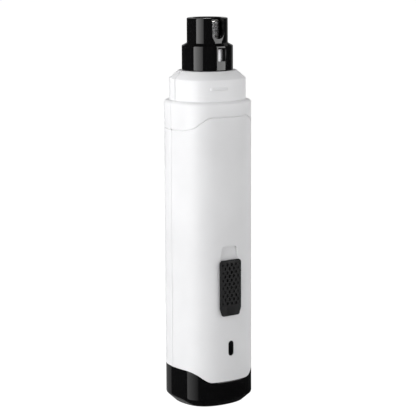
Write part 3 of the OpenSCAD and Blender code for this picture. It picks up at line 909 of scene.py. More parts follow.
class Slot(Enum):
    """The record's material slots, each with its finish."""

    SHELL_WHITE = Moulded("shell_white", (0.80, 0.80, 0.81), (0.88, 0.88, 0.88), 0.4,
                          relief=0.002 * MM, wear_and_shade_amount=0.15, dust_amount=0.03, specular=0.3)
    GLOSS_BLACK = Moulded("gloss_black", (0.0035, 0.0035, 0.0038), (0.02, 0.02, 0.02), 0.05,
                          vary=0.025, relief=0.0006 * MM, wear_and_shade_amount=0.2, dust_amount=0.004)
    # grip_black's edges are darker than its face: painted shade along the button's outline and
    # dimple rims, where side walls and gaps fall in shadow.
    GRIP_BLACK = Moulded("grip_black", (0.006, 0.006, 0.0065), (0.002, 0.002, 0.002), 0.55,
                         grain_scale=3500.0, relief=0.01 * MM, dust_amount=0.01, specular=0.3,
                         wear_and_shade_amount=0.9)
    INNER_BLACK = Moulded("inner_black", (0.03, 0.03, 0.03), (0.09, 0.09, 0.09), 0.5)
    KNOB_WHITE = Moulded("knob_white", (0.72, 0.71, 0.68), (0.8, 0.8, 0.78), 0.42)
    LENS_SMOKE = Moulded("lens_smoke", (0.003, 0.003, 0.0035), (0.01, 0.01, 0.01), 0.12,
                         vary=0.02, relief=0.001 * MM, dust_amount=0.004, specular=0.3)
    LED_YELLOW = Moulded("led_yellow", (0.75, 0.62, 0.22), (0.9, 0.85, 0.6), 0.2, coat=0.6)
    CELL_WRAP = Moulded("cell_wrap", (0.03, 0.13, 0.38), (0.2, 0.3, 0.5), 0.28, coat=0.3)
    LEAD_RED = Moulded("lead_red", (0.45, 0.02, 0.02), (0.6, 0.1, 0.1), 0.4)
    LEAD_BLACK = Moulded("lead_black", (0.02, 0.02, 0.02), (0.08, 0.08, 0.08), 0.4)
    DAMPER_RUBBER = Moulded("damper_rubber", (0.022, 0.022, 0.022), (0.06, 0.06, 0.06), 0.75,
                            grain_scale=1800.0, relief=0.02 * MM, dust_amount=0.2)
    MAGNET_DARK = Moulded("magnet_dark", (0.05, 0.05, 0.055), (0.16, 0.16, 0.17), 0.6,
                          grain_scale=1500.0, relief=0.02 * MM)
    BRIGHT_STEEL = Metal("bright_steel", (0.70, 0.70, 0.71), 0.28, metallic=0.75)
    NICKEL = Metal("nickel", (0.66, 0.64, 0.60), 0.24, marks=0.06, stretch=4.0)
    BRASS = Metal("brass", (0.72, 0.53, 0.24), 0.3, stain=(0.3, 0.19, 0.08))
    BRONZE = Metal("bronze", (0.46, 0.31, 0.17), 0.5, stain=(0.18, 0.11, 0.06), stretch=2.0)
    SPIGOT_SILVER = Metal("spigot_silver", (0.40, 0.40, 0.41), 0.38, metallic=0.5)
    COPPER = Banded("copper", (0.70, 0.33, 0.17), (0.12, 0.05, 0.03), 0.35 * MM)
    LAMINATION_STEEL = Banded("lamination_steel", (0.38, 0.38, 0.40), (0.08, 0.08, 0.08),
                              0.5 * MM, roughness=0.42)
    GRIT = Grit("grit", (0.74, 0.74, 0.75), (0.09, 0.09, 0.09), 1500.0)
    BOARD_GREEN = Board("board_green", (0.015, 0.12, 0.05), (0.04, 0.24, 0.10))

    @property
    def material(self) -> bpy.types.Material:
        """Return the slot's material, made at its first use."""
        made = bpy.data.materials.get(self.value.name + "_finish")
        if made is None:
            made = self.value.make()
            made.name = self.value.name + "_finish"
        return made


def dress(piece: bpy.types.Object, slot: Slot) -> None:
    """Give every face of a piece one finish.

    Args:
        piece: The piece to dress.
        slot: The material slot whose finish it takes.
    """
    if not piece.data.materials:
        piece.data.materials.append(slot.material)
    for place in piece.material_slots:
        place.link = "OBJECT"
        place.material = slot.material


def install(piece: bpy.types.Object, body: Body, slot: Slot, *nodes: str) -> None:
    """Dress a new piece, hang it on its body and let it stand for its plain forms.

    Args:
        piece: The finished piece.
        body: The body that it rides on.
        slot: Its material slot.
        nodes: The nodes that it stands for.
    """
    piece.data.materials.clear()
    piece.data.materials.append(slot.material)
    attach(piece, body.value)
    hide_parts(*nodes)
    LOG.info("%s: %d faces on %s", piece.name, len(piece.data.polygons), body.value)


# ---------------------------------------------------------------- the object


@dataclass(frozen=True)
class Section:
    """The handle's outer section and the heights that its pieces share.

    Attributes:
        half_w: Half the handle's width.
        half_d: Half its depth.
        seam_y: Where the two shells meet.
        base_side: Height of the base cap at the sides.
        base_front: Height of the base cap at the front.
        skirt_low: Lower end of the shells' skirt.
        shoulder: Height of the handle's shoulder.
        collar_top: Height of the collar's top.
    """

    half_w: float
    half_d: float
    seam_y: float
    base_side: float
    base_front: float
    skirt_low: float
    shoulder: float
    collar_top: float

    @classmethod
    def measured(cls) -> "Section":
        """Return the section as the frame has it."""
        _, cap_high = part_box("base_cap")
        shell_low, shell_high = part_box("rear_shell")
        collar_h = 12.6 * MM
        return cls(half_w=cap_high.x, half_d=cap_high.y, seam_y=shell_low.y,
                   base_side=16.6 * MM, base_front=11.5 * MM, skirt_low=shell_low.z,
                   shoulder=shell_high.z - collar_h, collar_top=shell_high.z)

    def ring(self, z: float, inset: float) -> Ring:
        """Return a ring of the section, drawn in by an inset."""
        return Ring(z, self.half_w - inset, self.half_d - inset)

    def rise(self, x: float) -> float:
        """Return how far a wavy line has risen at a distance from the middle.

        Args:
            x: Distance from the middle, side to side.

        Returns:
            0 across the front and 1 at the side, with an even curve between.
        """
        start = self.half_w / 2
        share = min(1.0, max(0.0, (abs(x) - start) / (self.half_w - start)))
        return share * share * (3 - 2 * share)

    def wave(self, piece: bpy.types.Object, z: float, lift: float) -> None:
        """Move a level ring's front vertices so that it follows a wavy line.

        Args:
            piece: The lofted piece.
            z: Height of the ring, which stays so at the sides and the back.
            lift: How much higher the line runs across the front.
        """
        near = 0.002 * MM
        with editing(piece):
            mesh = bmesh.from_edit_mesh(piece.data)
            ring = [v.co for v in mesh.verts if abs(v.co.z - z) < near and v.co.y < -near]
            widths = {round(abs(co.x), 7) for co in ring}
            outer = max(widths)
            for width in sorted(widths):
                shift = lift * (1 - self.rise(width * self.half_w / max(outer, near)))
                pick(piece, lambda co, w=width: abs(co.z - z) < near and co.y < -near
                     and abs(abs(co.x) - w) < near)
                if abs(shift) > near:
                    bpy.ops.transform.translate(value=(0, 0, shift))


@dataclass
class Shells:
    """The two white shells: groove, seam, collar, switch well, lens hole and screw wells.

    Attributes:
        section: The handle's section and shared heights.
        wall: Thickness of the wall.
        skirt_inset: Step in to the skirt under the base cap.
        skirt_wall: Thickness of the skirt and the wall above it.
        step_soft: Softening of the step above the base cap.
        ring_gap: Spacing of the level rings up the handle.
        groove_w: Width of the wavy groove.
        groove_depth: Its depth.
        groove_side_drop: Its depth below the shoulder at the sides and the back.
        groove_front_drop: Its depth below the shoulder across the front.
        shoulder_edge: Chamfer on the shoulder.
        collar_inset: Step in to the collar.
        collar_fillet: Fillet at the collar's foot.
        slope_h: Height of the collar's sloping edge.
        slope_w: Width of the collar's sloping edge.
        nose_r: Radius of the hole for the nose.
        pocket_r: Radius of the pocket for the nose's flange.
        rib_r: Radius of the hole through the rib under it.
        room_r: Radius of the room inside the collar.
        seam_round: Rounding of the shells' edges at the seam.
        seam_gap: Half the hairline that shows between the shells.
    """

    section: Section
    wall: float = 2.0 * MM
    skirt_inset: float = 1.7 * MM
    skirt_wall: float = 1.5 * MM
    step_soft: float = 0.12 * MM
    ring_gap: float = 4.5 * MM
    groove_w: float = 0.5 * MM
    groove_depth: float = 0.4 * MM
    groove_side_drop: float = 12.1 * MM
    groove_front_drop: float = 6.3 * MM
    shoulder_edge: float = 0.8 * MM
    collar_inset: float = 2.2 * MM
    collar_fillet: float = 0.45 * MM
    slope_h: float = 3.3 * MM
    slope_w: float = 3.7 * MM
    nose_r: float = 9.2 * MM
    pocket_r: float = 11.0 * MM
    rib_r: float = 7.75 * MM
    room_r: float = 12.4 * MM
    seam_round: float = 0.15 * MM
    seam_gap: float = 0.1 * MM

    @property
    def groove_z(self) -> float:
        """Height of the groove's middle at the sides."""
        return self.section.shoulder - self.groove_side_drop

    def groove_profile(self) -> list[tuple[float, float]]:
        """Return the groove's rings as their heights and insets at the sides."""
        low = self.groove_z - self.groove_w / 2
        high = self.groove_z + self.groove_w / 2
        lip = 0.06 * MM
        lip_inset = 0.07 * MM
        floor = 0.1 * MM
        return [(low, 0), (low + lip, lip_inset), (self.groove_z - floor, self.groove_depth),
                (self.groove_z + floor, self.groove_depth), (high - lip, lip_inset), (high, 0)]

    def inner_rings(self) -> list[Ring]:
        """Return the rings down the inside, from the shoulder's underside to the skirt."""
        part = self.section
        under = part.shoulder - self.wall
        neck = part.base_side + 2 * MM
        skirt = self.skirt_inset + self.skirt_wall
        return [part.ring(under, self.wall), part.ring(neck, self.wall),
                part.ring(neck, skirt), part.ring(part.skirt_low, skirt),
                part.ring(part.skirt_low, self.skirt_inset + 0.1 * MM),
                part.ring(part.skirt_low + 0.1 * MM, self.skirt_inset)]

    def side_rings(self) -> list[Ring]:
        """Return the rings up the outside, from the skirt to the shoulder."""
        part = self.section
        soft = self.step_soft
        rings = [part.ring(part.base_side, self.skirt_inset), part.ring(part.base_side, soft),
                 part.ring(part.base_side + soft, 0)]
        count = round((self.groove_z - part.base_side) / self.ring_gap)
        for step in range(1, count - 1):
            rings.append(part.ring(part.base_side + step * self.ring_gap, 0))
        rings += [part.ring(z, inset) for z, inset in self.groove_profile()]
        return rings

    def top_rings(self) -> list[Ring]:
        """Return the rings over the shoulder, up the collar and down through its hole."""
        part = self.section
        top = part.collar_top
        foot = part.shoulder
        fillet = self.collar_fillet
        edge = self.shoulder_edge
        slope = top - self.slope_h
        round_slope = 0.25 * MM
        rings = [part.ring(foot - edge - 0.25 * MM, 0), part.ring(foot - edge, 0.08 * MM),
                 part.ring(foot - 0.1 * MM, edge - 0.05 * MM), part.ring(foot, edge + 0.15 * MM),
                 part.ring(foot, self.collar_inset - fillet)]
        for step in range(1, 5):
            angle = math.pi / 2 * step / 4
            rings.append(part.ring(foot + fillet * (1 - math.cos(angle)),
                                   self.collar_inset - fillet * (1 - math.sin(angle))))
        rings += [part.ring(slope - round_slope, self.collar_inset),
                  part.ring(slope - 0.02 * MM, self.collar_inset + 0.09 * MM),
                  part.ring(slope + round_slope, self.collar_inset + 0.36 * MM),
                  part.ring(top - 0.2 * MM, self.collar_inset + self.slope_w - 0.25 * MM),
                  part.ring(top, self.collar_inset + self.slope_w + 0.05 * MM)]
        pocket_top = top - 2.5 * MM
        rib_top = top - 5.02 * MM
        room_top = top - 7 * MM
        lead = 0.15 * MM
        holes = [(top, self.nose_r + lead), (top - lead, self.nose_r),
                 (pocket_top, self.nose_r), (pocket_top, self.pocket_r),
                 (rib_top, self.pocket_r), (rib_top, self.rib_r),
                 (room_top, self.rib_r), (room_top, self.room_r),
                 (foot - self.wall, self.room_r)]
        rings += [Ring(z, radius, radius, is_circle=True) for z, radius in holes]
        return rings

    def body(self) -> bpy.types.Object:
        """Return both shells as one closed piece."""
        part = self.section
        rings = self.inner_rings() + self.side_rings() + self.top_rings()
        piece = draw_section("front_shell_body", rings[0])
        loft(piece, rings)
        with editing(piece):
            under = rings[0].z
            near = 0.002 * MM
            pick(piece, lambda co: abs(co.z - under) < near)
            bpy.ops.mesh.region_to_loop()
            bpy.ops.mesh.bridge_edge_loops()
        base_lift = part.base_front - part.base_side
        for z in (part.base_side, part.base_side + self.step_soft):
            part.wave(piece, z, base_lift)
        lift = self.groove_side_drop - self.groove_front_drop
        for z, _ in self.groove_profile():
            part.wave(piece, z, lift)
        face_outwards(piece)
        return piece

    def halve(self, piece: bpy.types.Object, is_front: bool) -> None:
        """Keep one side of the seam, and round its edge there.

        Args:
            piece: The closed piece.
            is_front: Whether the front is kept.
        """
        seam = self.section.seam_y + (-self.seam_gap if is_front else self.seam_gap)
        with editing(piece):
            bpy.ops.mesh.select_all(action="SELECT")
            bpy.ops.mesh.bisect(plane_co=(0, seam, 0), plane_no=(0, 1, 0),
                                use_fill=True, clear_outer=is_front, clear_inner=not is_front)
            near = 0.001 * MM
            pick(piece, lambda co: abs(co.y - seam) < near)
            bpy.ops.mesh.region_to_loop()
            bpy.ops.mesh.bevel(offset=self.seam_round, segments=2, affect="EDGES")
        face_outwards(piece)


@dataclass
class SwitchWell:
    """The drafted well that the slide button runs in, and its stem's slot.

    Attributes:
        section: The handle's section.
        low: Height of the well's lower end, under the button.
        kink: Height where the sides start to close in.
        high: Height of its top.
        middle: Its distance to the side of the handle's middle.
        wide: Half its width below the kink.
        narrow: Half its width at the top.
        depth: Its depth.
        draft: How far its sides lean in by its floor.
        corner: Radius of its corners.
        slot_w: Width of the stem's slot.
        slot_low: Height of the slot's lower end.
        slot_high: Height of the slot's upper end.
    """

    section: Section
    low: float
    kink: float
    high: float
    middle: float
    wide: float = 5.1 * MM
    narrow: float = 4.2 * MM
    depth: float = 1.0 * MM
    draft: float = 0.45 * MM
    corner: float = 0.9 * MM
    slot_w: float = 3.3 * MM
    slot_low: float = 50.3 * MM
    slot_high: float = 61.3 * MM

    def well(self) -> bpy.types.Object:
        """Return the cutter of the well, with drafted sides and rounded corners."""
        front = -self.section.half_d
        floor = front + self.depth
        cutter = block("well_cutter", Vector((-self.wide, front - 1 * MM, self.low)),
                       Vector((self.wide, floor, self.kink)))
        near = 0.01 * MM
        with editing(cutter):
            pick(cutter, lambda co: abs(co.z - self.kink) < near)
            bpy.ops.mesh.extrude_region_move(
                TRANSFORM_OT_translate={"value": (0, 0, self.high - self.kink)})
            bpy.ops.transform.resize(value=(self.narrow / self.wide, 1, 1))
            pick(cutter, lambda co: abs(co.y - floor) < near)
            share = (self.narrow - self.draft) / self.narrow
            bpy.ops.transform.resize(value=(share, 1, 1))
            pick(cutter, lambda co: abs(co.y - floor) < near and abs(co.z - self.high) < near)
            bpy.ops.transform.translate(value=(0, 0, -self.draft))
            pick(cutter, lambda co: co.z > self.high - 2 * self.draft)
            bpy.ops.mesh.select_mode(type="EDGE")
            mesh = bmesh.from_edit_mesh(cutter.data)
            for edge in mesh.edges:
                first, last = edge.verts
                along = last.co - first.co
                edge.select_set(edge.select and abs(along.y) > abs(along.x))
            bmesh.update_edit_mesh(cutter.data)
            bpy.ops.mesh.bevel(offset=self.corner, segments=4, affect="EDGES")
            bpy.ops.mesh.select_all(action="SELECT")
            bpy.ops.transform.translate(value=(self.middle, 0, 0))
        face_outwards(cutter)
        return cutter

    def slot(self) -> bpy.types.Object:
        """Return the cutter of the stem's slot."""
        front = -self.section.half_d
        half = self.slot_w / 2
        return block("slot_cutter", Vector((self.middle - half, front - 1 * MM, self.slot_low)),
                     Vector((self.middle + half, front + 3 * MM, self.slot_high)))

    def cut(self, piece: bpy.types.Object) -> None:
        """Cut the well and the slot into the front shell."""
        carve(piece, self.well())
        carve(piece, self.slot())


@dataclass
class Pill:
    """An upright pill shape with round ends, run through the depth.

    Attributes:
        width: Its width.
        height: Its height.
        middle: Height of its centre.
    """

    width: float
    height: float
    middle: float

    def solid(self, name: str, front: float, back: float) -> bpy.types.Object:
        """Return the pill from one depth to another.

        Args:
            name: The piece's name.
            front: Its front face.
            back: Its back face.

        Returns:
            The pill.
        """
        clear_selection()
        bpy.ops.mesh.primitive_circle_add(vertices=32, radius=self.width / 2,
                                          fill_type="NGON", location=(0, front, self.middle),
                                          rotation=Axis.Y.value)
        piece = name_new_piece(name)
        apply_place(piece)
        reach = (self.height - self.width) / 2
        near = 0.01 * MM
        with editing(piece):
            pick(piece, lambda co: co.z > self.middle + near)
            bpy.ops.transform.translate(value=(0, 0, reach))
            pick(piece, lambda co: co.z < self.middle - near)
            bpy.ops.transform.translate(value=(0, 0, -reach))
            bpy.ops.mesh.select_all(action="SELECT")
            bpy.ops.mesh.extrude_region_move(
                TRANSFORM_OT_translate={"value": (0, back - front, 0)})
        face_outwards(piece)
        return piece


@dataclass
class Lens:
    """The smoked indicator window.

    Attributes:
        section: The handle's section.
        shape: The window's pill shape.
        gap: Gap around it in the shell.
        sunk: How far its face lies inside the handle's.
        flange_w: Width of its flange behind the shell.
        flange_t: Thickness of its flange.
    """

    section: Section
    shape: Pill
    gap: float = 0.05 * MM
    sunk: float = 0.15 * MM
    flange_w: float = 0.8 * MM
    flange_t: float = 0.7 * MM

    def cutter(self) -> bpy.types.Object:
        """Return the cutter of the window's hole."""
        hole = Pill(self.shape.width + 2 * self.gap, self.shape.height + 2 * self.gap,
                    self.shape.middle)
        front = -self.section.half_d
        return hole.solid("lens_cutter", front - 1 * MM, front + 3 * MM)

    def build(self) -> None:
        """Build the lens and install it."""
        front = -self.section.half_d + self.sunk
        shell_t = 2.1 * MM        # the wall and the gap behind it
        back = -self.section.half_d + shell_t
        near = 0.01 * MM
        pane = self.shape.solid("indicator_lens_pane", front, back)
        with editing(pane):
            pick(pane, lambda co: co.y < front + near)
            bpy.ops.mesh.bevel(offset=0.25 * MM, segments=3, affect="EDGES")
        collar = Pill(self.shape.width + 2 * self.flange_w,
                      self.shape.height + 2 * self.flange_w, self.shape.middle)
        flange = collar.solid("indicator_flange", back, back + self.flange_t)
        piece = join([pane, flange])
        smooth(piece)
        install(piece, Body.HANDLE, Slot.LENS_SMOKE, "indicator_lens")


@dataclass
class CollarBar:
    """The short raised bar on the collar's front.

    Attributes:
        section: The handle's section.
        inset: The collar's inset.
        width: Its width.
        height: Its height.
        middle: Its distance to the side of the handle's middle.
        up: Its height above the shoulder.
        proud: How far it stands off the collar.
    """

    section: Section
    inset: float
    width: float = 8.0 * MM
    height: float = 1.2 * MM
    middle: float = -4.0 * MM
    up: float = 5.0 * MM
    proud: float = 0.5 * MM

    def build(self) -> bpy.types.Object:
        """Return the bar as a band of the collar's section, cut to its length."""
        low = self.section.shoulder + self.up
        high = low + self.height
        part = self.section
        soft = 0.15 * MM
        face = self.inset - self.proud
        root = self.inset + 0.6 * MM      # sunk into the collar
        rings = [part.ring(low, root), part.ring(low, face + soft),
                 part.ring(low + soft, face), part.ring(high - soft, face),
                 part.ring(high, face + soft), part.ring(high, root)]
        piece = draw_section("collar_bar", rings[0])
        loft(piece, [*rings, rings[0]])
        cuts = [((0, 0, 0), (0, 1, 0)),
                ((self.middle + self.width / 2, 0, 0), (1, 0, 0)),
                ((self.middle - self.width / 2, 0, 0), (-1, 0, 0))]
        with editing(piece):
            for point, normal in cuts:
                bpy.ops.mesh.select_all(action="SELECT")
                bpy.ops.mesh.bisect(plane_co=point, plane_no=normal, use_fill=True,
                                    clear_outer=True)
        soften_edges(piece, 0.12 * MM, 60)
        face_outwards(piece)
        return piece


@dataclass
class FrontShell:
    """The front shell, cut from both shells' closed form.

    Attributes:
        shells: The shells' shared form.
        well: The switch's well.
        lens: The indicator window.
        bar: The collar's raised bar.
    """

    shells: Shells
    well: SwitchWell
    lens: Lens
    bar: CollarBar

    def build(self, body: bpy.types.Object) -> None:
        """Cut the front shell and install it.

        Args:
            body: Both shells as one piece, which becomes the front shell.
        """
        self.shells.halve(body, is_front=True)
        self.well.cut(body)
        carve(body, self.lens.cutter())
        piece = join([body, self.bar.build()])
        smooth(piece, 28)
        install(piece, Body.HANDLE, Slot.SHELL_WHITE, "front_shell")


@dataclass
class RearShell:
    """The rear shell with its four screw wells.

    Attributes:
        shells: The shells' shared form.
        screw_x: Distance of the screws from the middle.
        screw_zs: Heights of the screws.
        seat_y: Depth of the screws' seats.
        well_r: Radius of a screw's well.
        boss_r: Radius of the boss around it.
        boss_end: Depth where a boss ends on its own axis, inside the wall.
        boss_slope: How much its end slopes, to follow the wall.
    """

    shells: Shells
    screw_x: float
    screw_zs: tuple[float, float]
    seat_y: float = 9.0 * MM
    well_r: float = 2.0 * MM
    boss_r: float = 2.7 * MM
    boss_end: float = 13.1 * MM
    boss_slope: float = 0.72

    def build(self, body: bpy.types.Object) -> None:
        """Cut the rear shell and install it.

        Args:
            body: Both shells as one piece, which becomes the rear shell.
        """
        self.shells.halve(body, is_front=False)
        past_end = 18 * MM
        deep = 12 * MM
        thread_r = 1.12 * MM
        places = [(x, z) for x in (-self.screw_x, self.screw_x) for z in self.screw_zs]
        for x, z in places:
            start = Vector((x, self.shells.section.seam_y + 0.1 * MM, z))
            boss = rod("screw_boss", self.boss_r, start, past_end, Axis.Y)
            with editing(boss):
                bpy.ops.mesh.select_all(action="SELECT")
                bpy.ops.mesh.bisect(plane_co=(x, self.boss_end, z),
                                    plane_no=(math.copysign(self.boss_slope, x), 1, 0),
                                    use_fill=True, clear_outer=True)
            combine(body, boss, "UNION")
        for x, z in places:
            carve(body, rod("screw_well", self.well_r, Vector((x, self.seat_y, z)), deep, Axis.Y))
            carve(body, rod("screw_hole", thread_r, Vector((x, 0, z)), deep, Axis.Y, 24))
        body.name = "rear_shell_body"
        body.data.name = "rear_shell_body"
        smooth(body, 28)
        install(body, Body.HANDLE, Slot.SHELL_WHITE, "rear_shell")


@dataclass
class BaseCap:
    """The gloss black base cap with its wavy rim, charging slot and screw wells.

    Attributes:
        section: The handle's section and shared heights.
        chamfer: Chamfer around the underside.
        wall: Thickness of the wall.
        floor: Thickness of the floor.
        ledge_w: Width of the ledge inside.
        ledge_h: Height of the ledge above the floor.
        line_gap: Hairline between the cap and the shells.
        slot_w: Width of the charging slot.
        slot_front: Its front side.
        slot_back: Its back side.
        screw_x: Distance of the screws from the middle.
        screw_y: Distance of the screws behind the middle.
    """

    section: Section
    chamfer: float = 3.6 * MM
    wall: float = 1.6 * MM
    floor: float = 2.4 * MM
    ledge_w: float = 3.4 * MM
    ledge_h: float = 2.0 * MM
    line_gap: float = 0.05 * MM
    slot_w: float = 9.3 * MM
    slot_front: float = -8.55 * MM
    slot_back: float = -5.05 * MM
    screw_x: float = 8.0 * MM
    screw_y: float = 5.0 * MM

    def form(self) -> bpy.types.Object:
        """Return the cap as a closed cup."""
        part = self.section
        rim = part.base_side - self.line_gap
        soft = 0.2 * MM
        ledge = self.floor + self.ledge_h
        rings = [part.ring(0, self.chamfer + 0.25 * MM), part.ring(0.12 * MM, self.chamfer),
                 part.ring(self.chamfer - 0.5 * MM, 0.42 * MM),
                 part.ring(self.chamfer - 0.12 * MM, 0.13 * MM),
                 part.ring(self.chamfer + 0.35 * MM, 0), part.ring(self.chamfer + 0.7 * MM, 0),
                 part.ring(self.chamfer + 2.2 * MM, 0), part.ring(self.chamfer + 4.5 * MM, 0),
                 part.ring(rim - 2.5 * soft, 0),
                 part.ring(rim - soft, 0), part.ring(rim - 0.06 * MM, 0.06 * MM),
                 part.ring(rim, soft), part.ring(rim, self.wall),
                 part.ring(ledge, self.wall), part.ring(ledge, self.wall + self.ledge_w),
                 part.ring(self.floor, self.wall + self.ledge_w)]
        piece = draw_section("base_cap_body", rings[0])
        loft(piece, rings, is_capped=True)
        for z in (rim - 2.5 * soft, rim - soft, rim - 0.06 * MM, rim):
            part.wave(piece, z, part.base_front - part.base_side)
        face_outwards(piece)
        return piece

    def build(self) -> None:
        """Build the cap and install it."""
        piece = self.form()
        slot = block("port_cutter", Vector((-self.slot_w / 2, self.slot_front, -1 * MM)),
                     Vector((self.slot_w / 2, self.slot_back, self.floor + 1 * MM)))
        with editing(slot):
            bpy.ops.mesh.select_all(action="SELECT")
            bpy.ops.mesh.bevel(offset=0.9 * MM, segments=4, affect="EDGES")
        carve(piece, slot)
        well_r = 2.0 * MM
        hole_r = 1.2 * MM
        for x in (-self.screw_x, self.screw_x):
            at = Vector((x, self.screw_y, -1 * MM))
            carve(piece, rod("screw_well", well_r, at, 2.2 * MM, Axis.Z))
            carve(piece, rod("screw_hole", hole_r, at, 6 * MM, Axis.Z, 24))
        smooth(piece, 28)
        install(piece, Body.HANDLE, Slot.GLOSS_BLACK, "base_cap")


@dataclass
class Guard:
    """The gloss black guard with its nail port and window.

    Attributes:
        low: Height of its lower end.
        step: Height of the step between its two tubes.
        top: Height of its top.
        radius: Radius of the lower tube.
        top_radius: Radius of the upper tube.
        bore: Radius of the lower bore.
        top_bore: Radius of the upper bore.
        lip: Radius of the mouth inside the lip.
        lip_t: Thickness of the lip.
        slope: Height of the slope above the step.
        port_w: Width of the nail port.
        port_h: Height of the nail port.
        window_w: Width of the window.
        window_low: Height of the window's sill.
        window_high: Height of the window's head.
    """

    low: float
    step: float
    top: float
    radius: float = 11.0 * MM
    top_radius: float = 8.8 * MM
    bore: float = 9.2 * MM
    top_bore: float = 7.0 * MM
    lip: float = 6.1 * MM
    lip_t: float = 1.0 * MM
    slope: float = 1.1 * MM
    port_w: float = 6.2 * MM
    port_h: float = 8.7 * MM
    window_w: float = 3.8 * MM
    window_low: float = 149.9 * MM
    window_high: float = 155.3 * MM

    def build(self) -> None:
        """Build the guard and install it."""
        soft = 0.25 * MM
        profile = [(self.low, self.radius - soft), (self.low + 0.08 * MM, self.radius - 0.08 * MM),
                   (self.low + soft, self.radius), (self.low + 2 * soft, self.radius),
                   (self.step - 2 * soft, self.radius), (self.step - soft, self.radius),
                   (self.step - 0.02 * MM, self.radius - 0.08 * MM),
                   (self.step + 0.1 * MM, self.radius - 0.3 * MM),
                   (self.step + self.slope - 0.15 * MM, self.top_radius + 0.28 * MM),
                   (self.step + self.slope + 0.05 * MM, self.top_radius + 0.04 * MM),
                   (self.step + self.slope + 0.3 * MM, self.top_radius),
                   (self.step + self.slope + 0.6 * MM, self.top_radius),
                   (self.top - 0.7 * MM, self.top_radius),
                   (self.top - 0.4 * MM, self.top_radius),
                   (self.top - 0.12 * MM, self.top_radius - 0.1 * MM),
                   (self.top, self.top_radius - 0.4 * MM),
                   (self.top, self.lip + 0.2 * MM), (self.top - 0.2 * MM, self.lip),
                   (self.top - self.lip_t, self.lip), (self.top - self.lip_t, self.top_bore),
                   (self.step - 0.5 * MM, self.top_bore), (self.step - 0.5 * MM, self.bore),
                   (self.low + 0.15 * MM, self.bore), (self.low, self.bore + 0.15 * MM)]
        piece = turned("guard_body", profile, 192)
        half = self.port_w / 2
        sill = self.top - self.port_h + half
        carve(piece, rod("port_cutter", half, Vector((0, -self.radius, sill)), self.radius,
                         Axis.Y, 64))
        carve(piece, block("port_cutter", Vector((-half, -self.radius, sill)),
                           Vector((half, 0, self.top + 1 * MM))))
        carve(piece, block("window_cutter",
                           Vector((-self.window_w / 2, -self.radius - 1 * MM, self.window_low)),
                           Vector((self.window_w / 2, 0, self.window_high))))
        soften_edges(piece, 0.07 * MM, 55)
        face_outwards(piece)
        smooth(piece, 40)
        install(piece, Body.GUARD, Slot.GLOSS_BLACK, "guard")


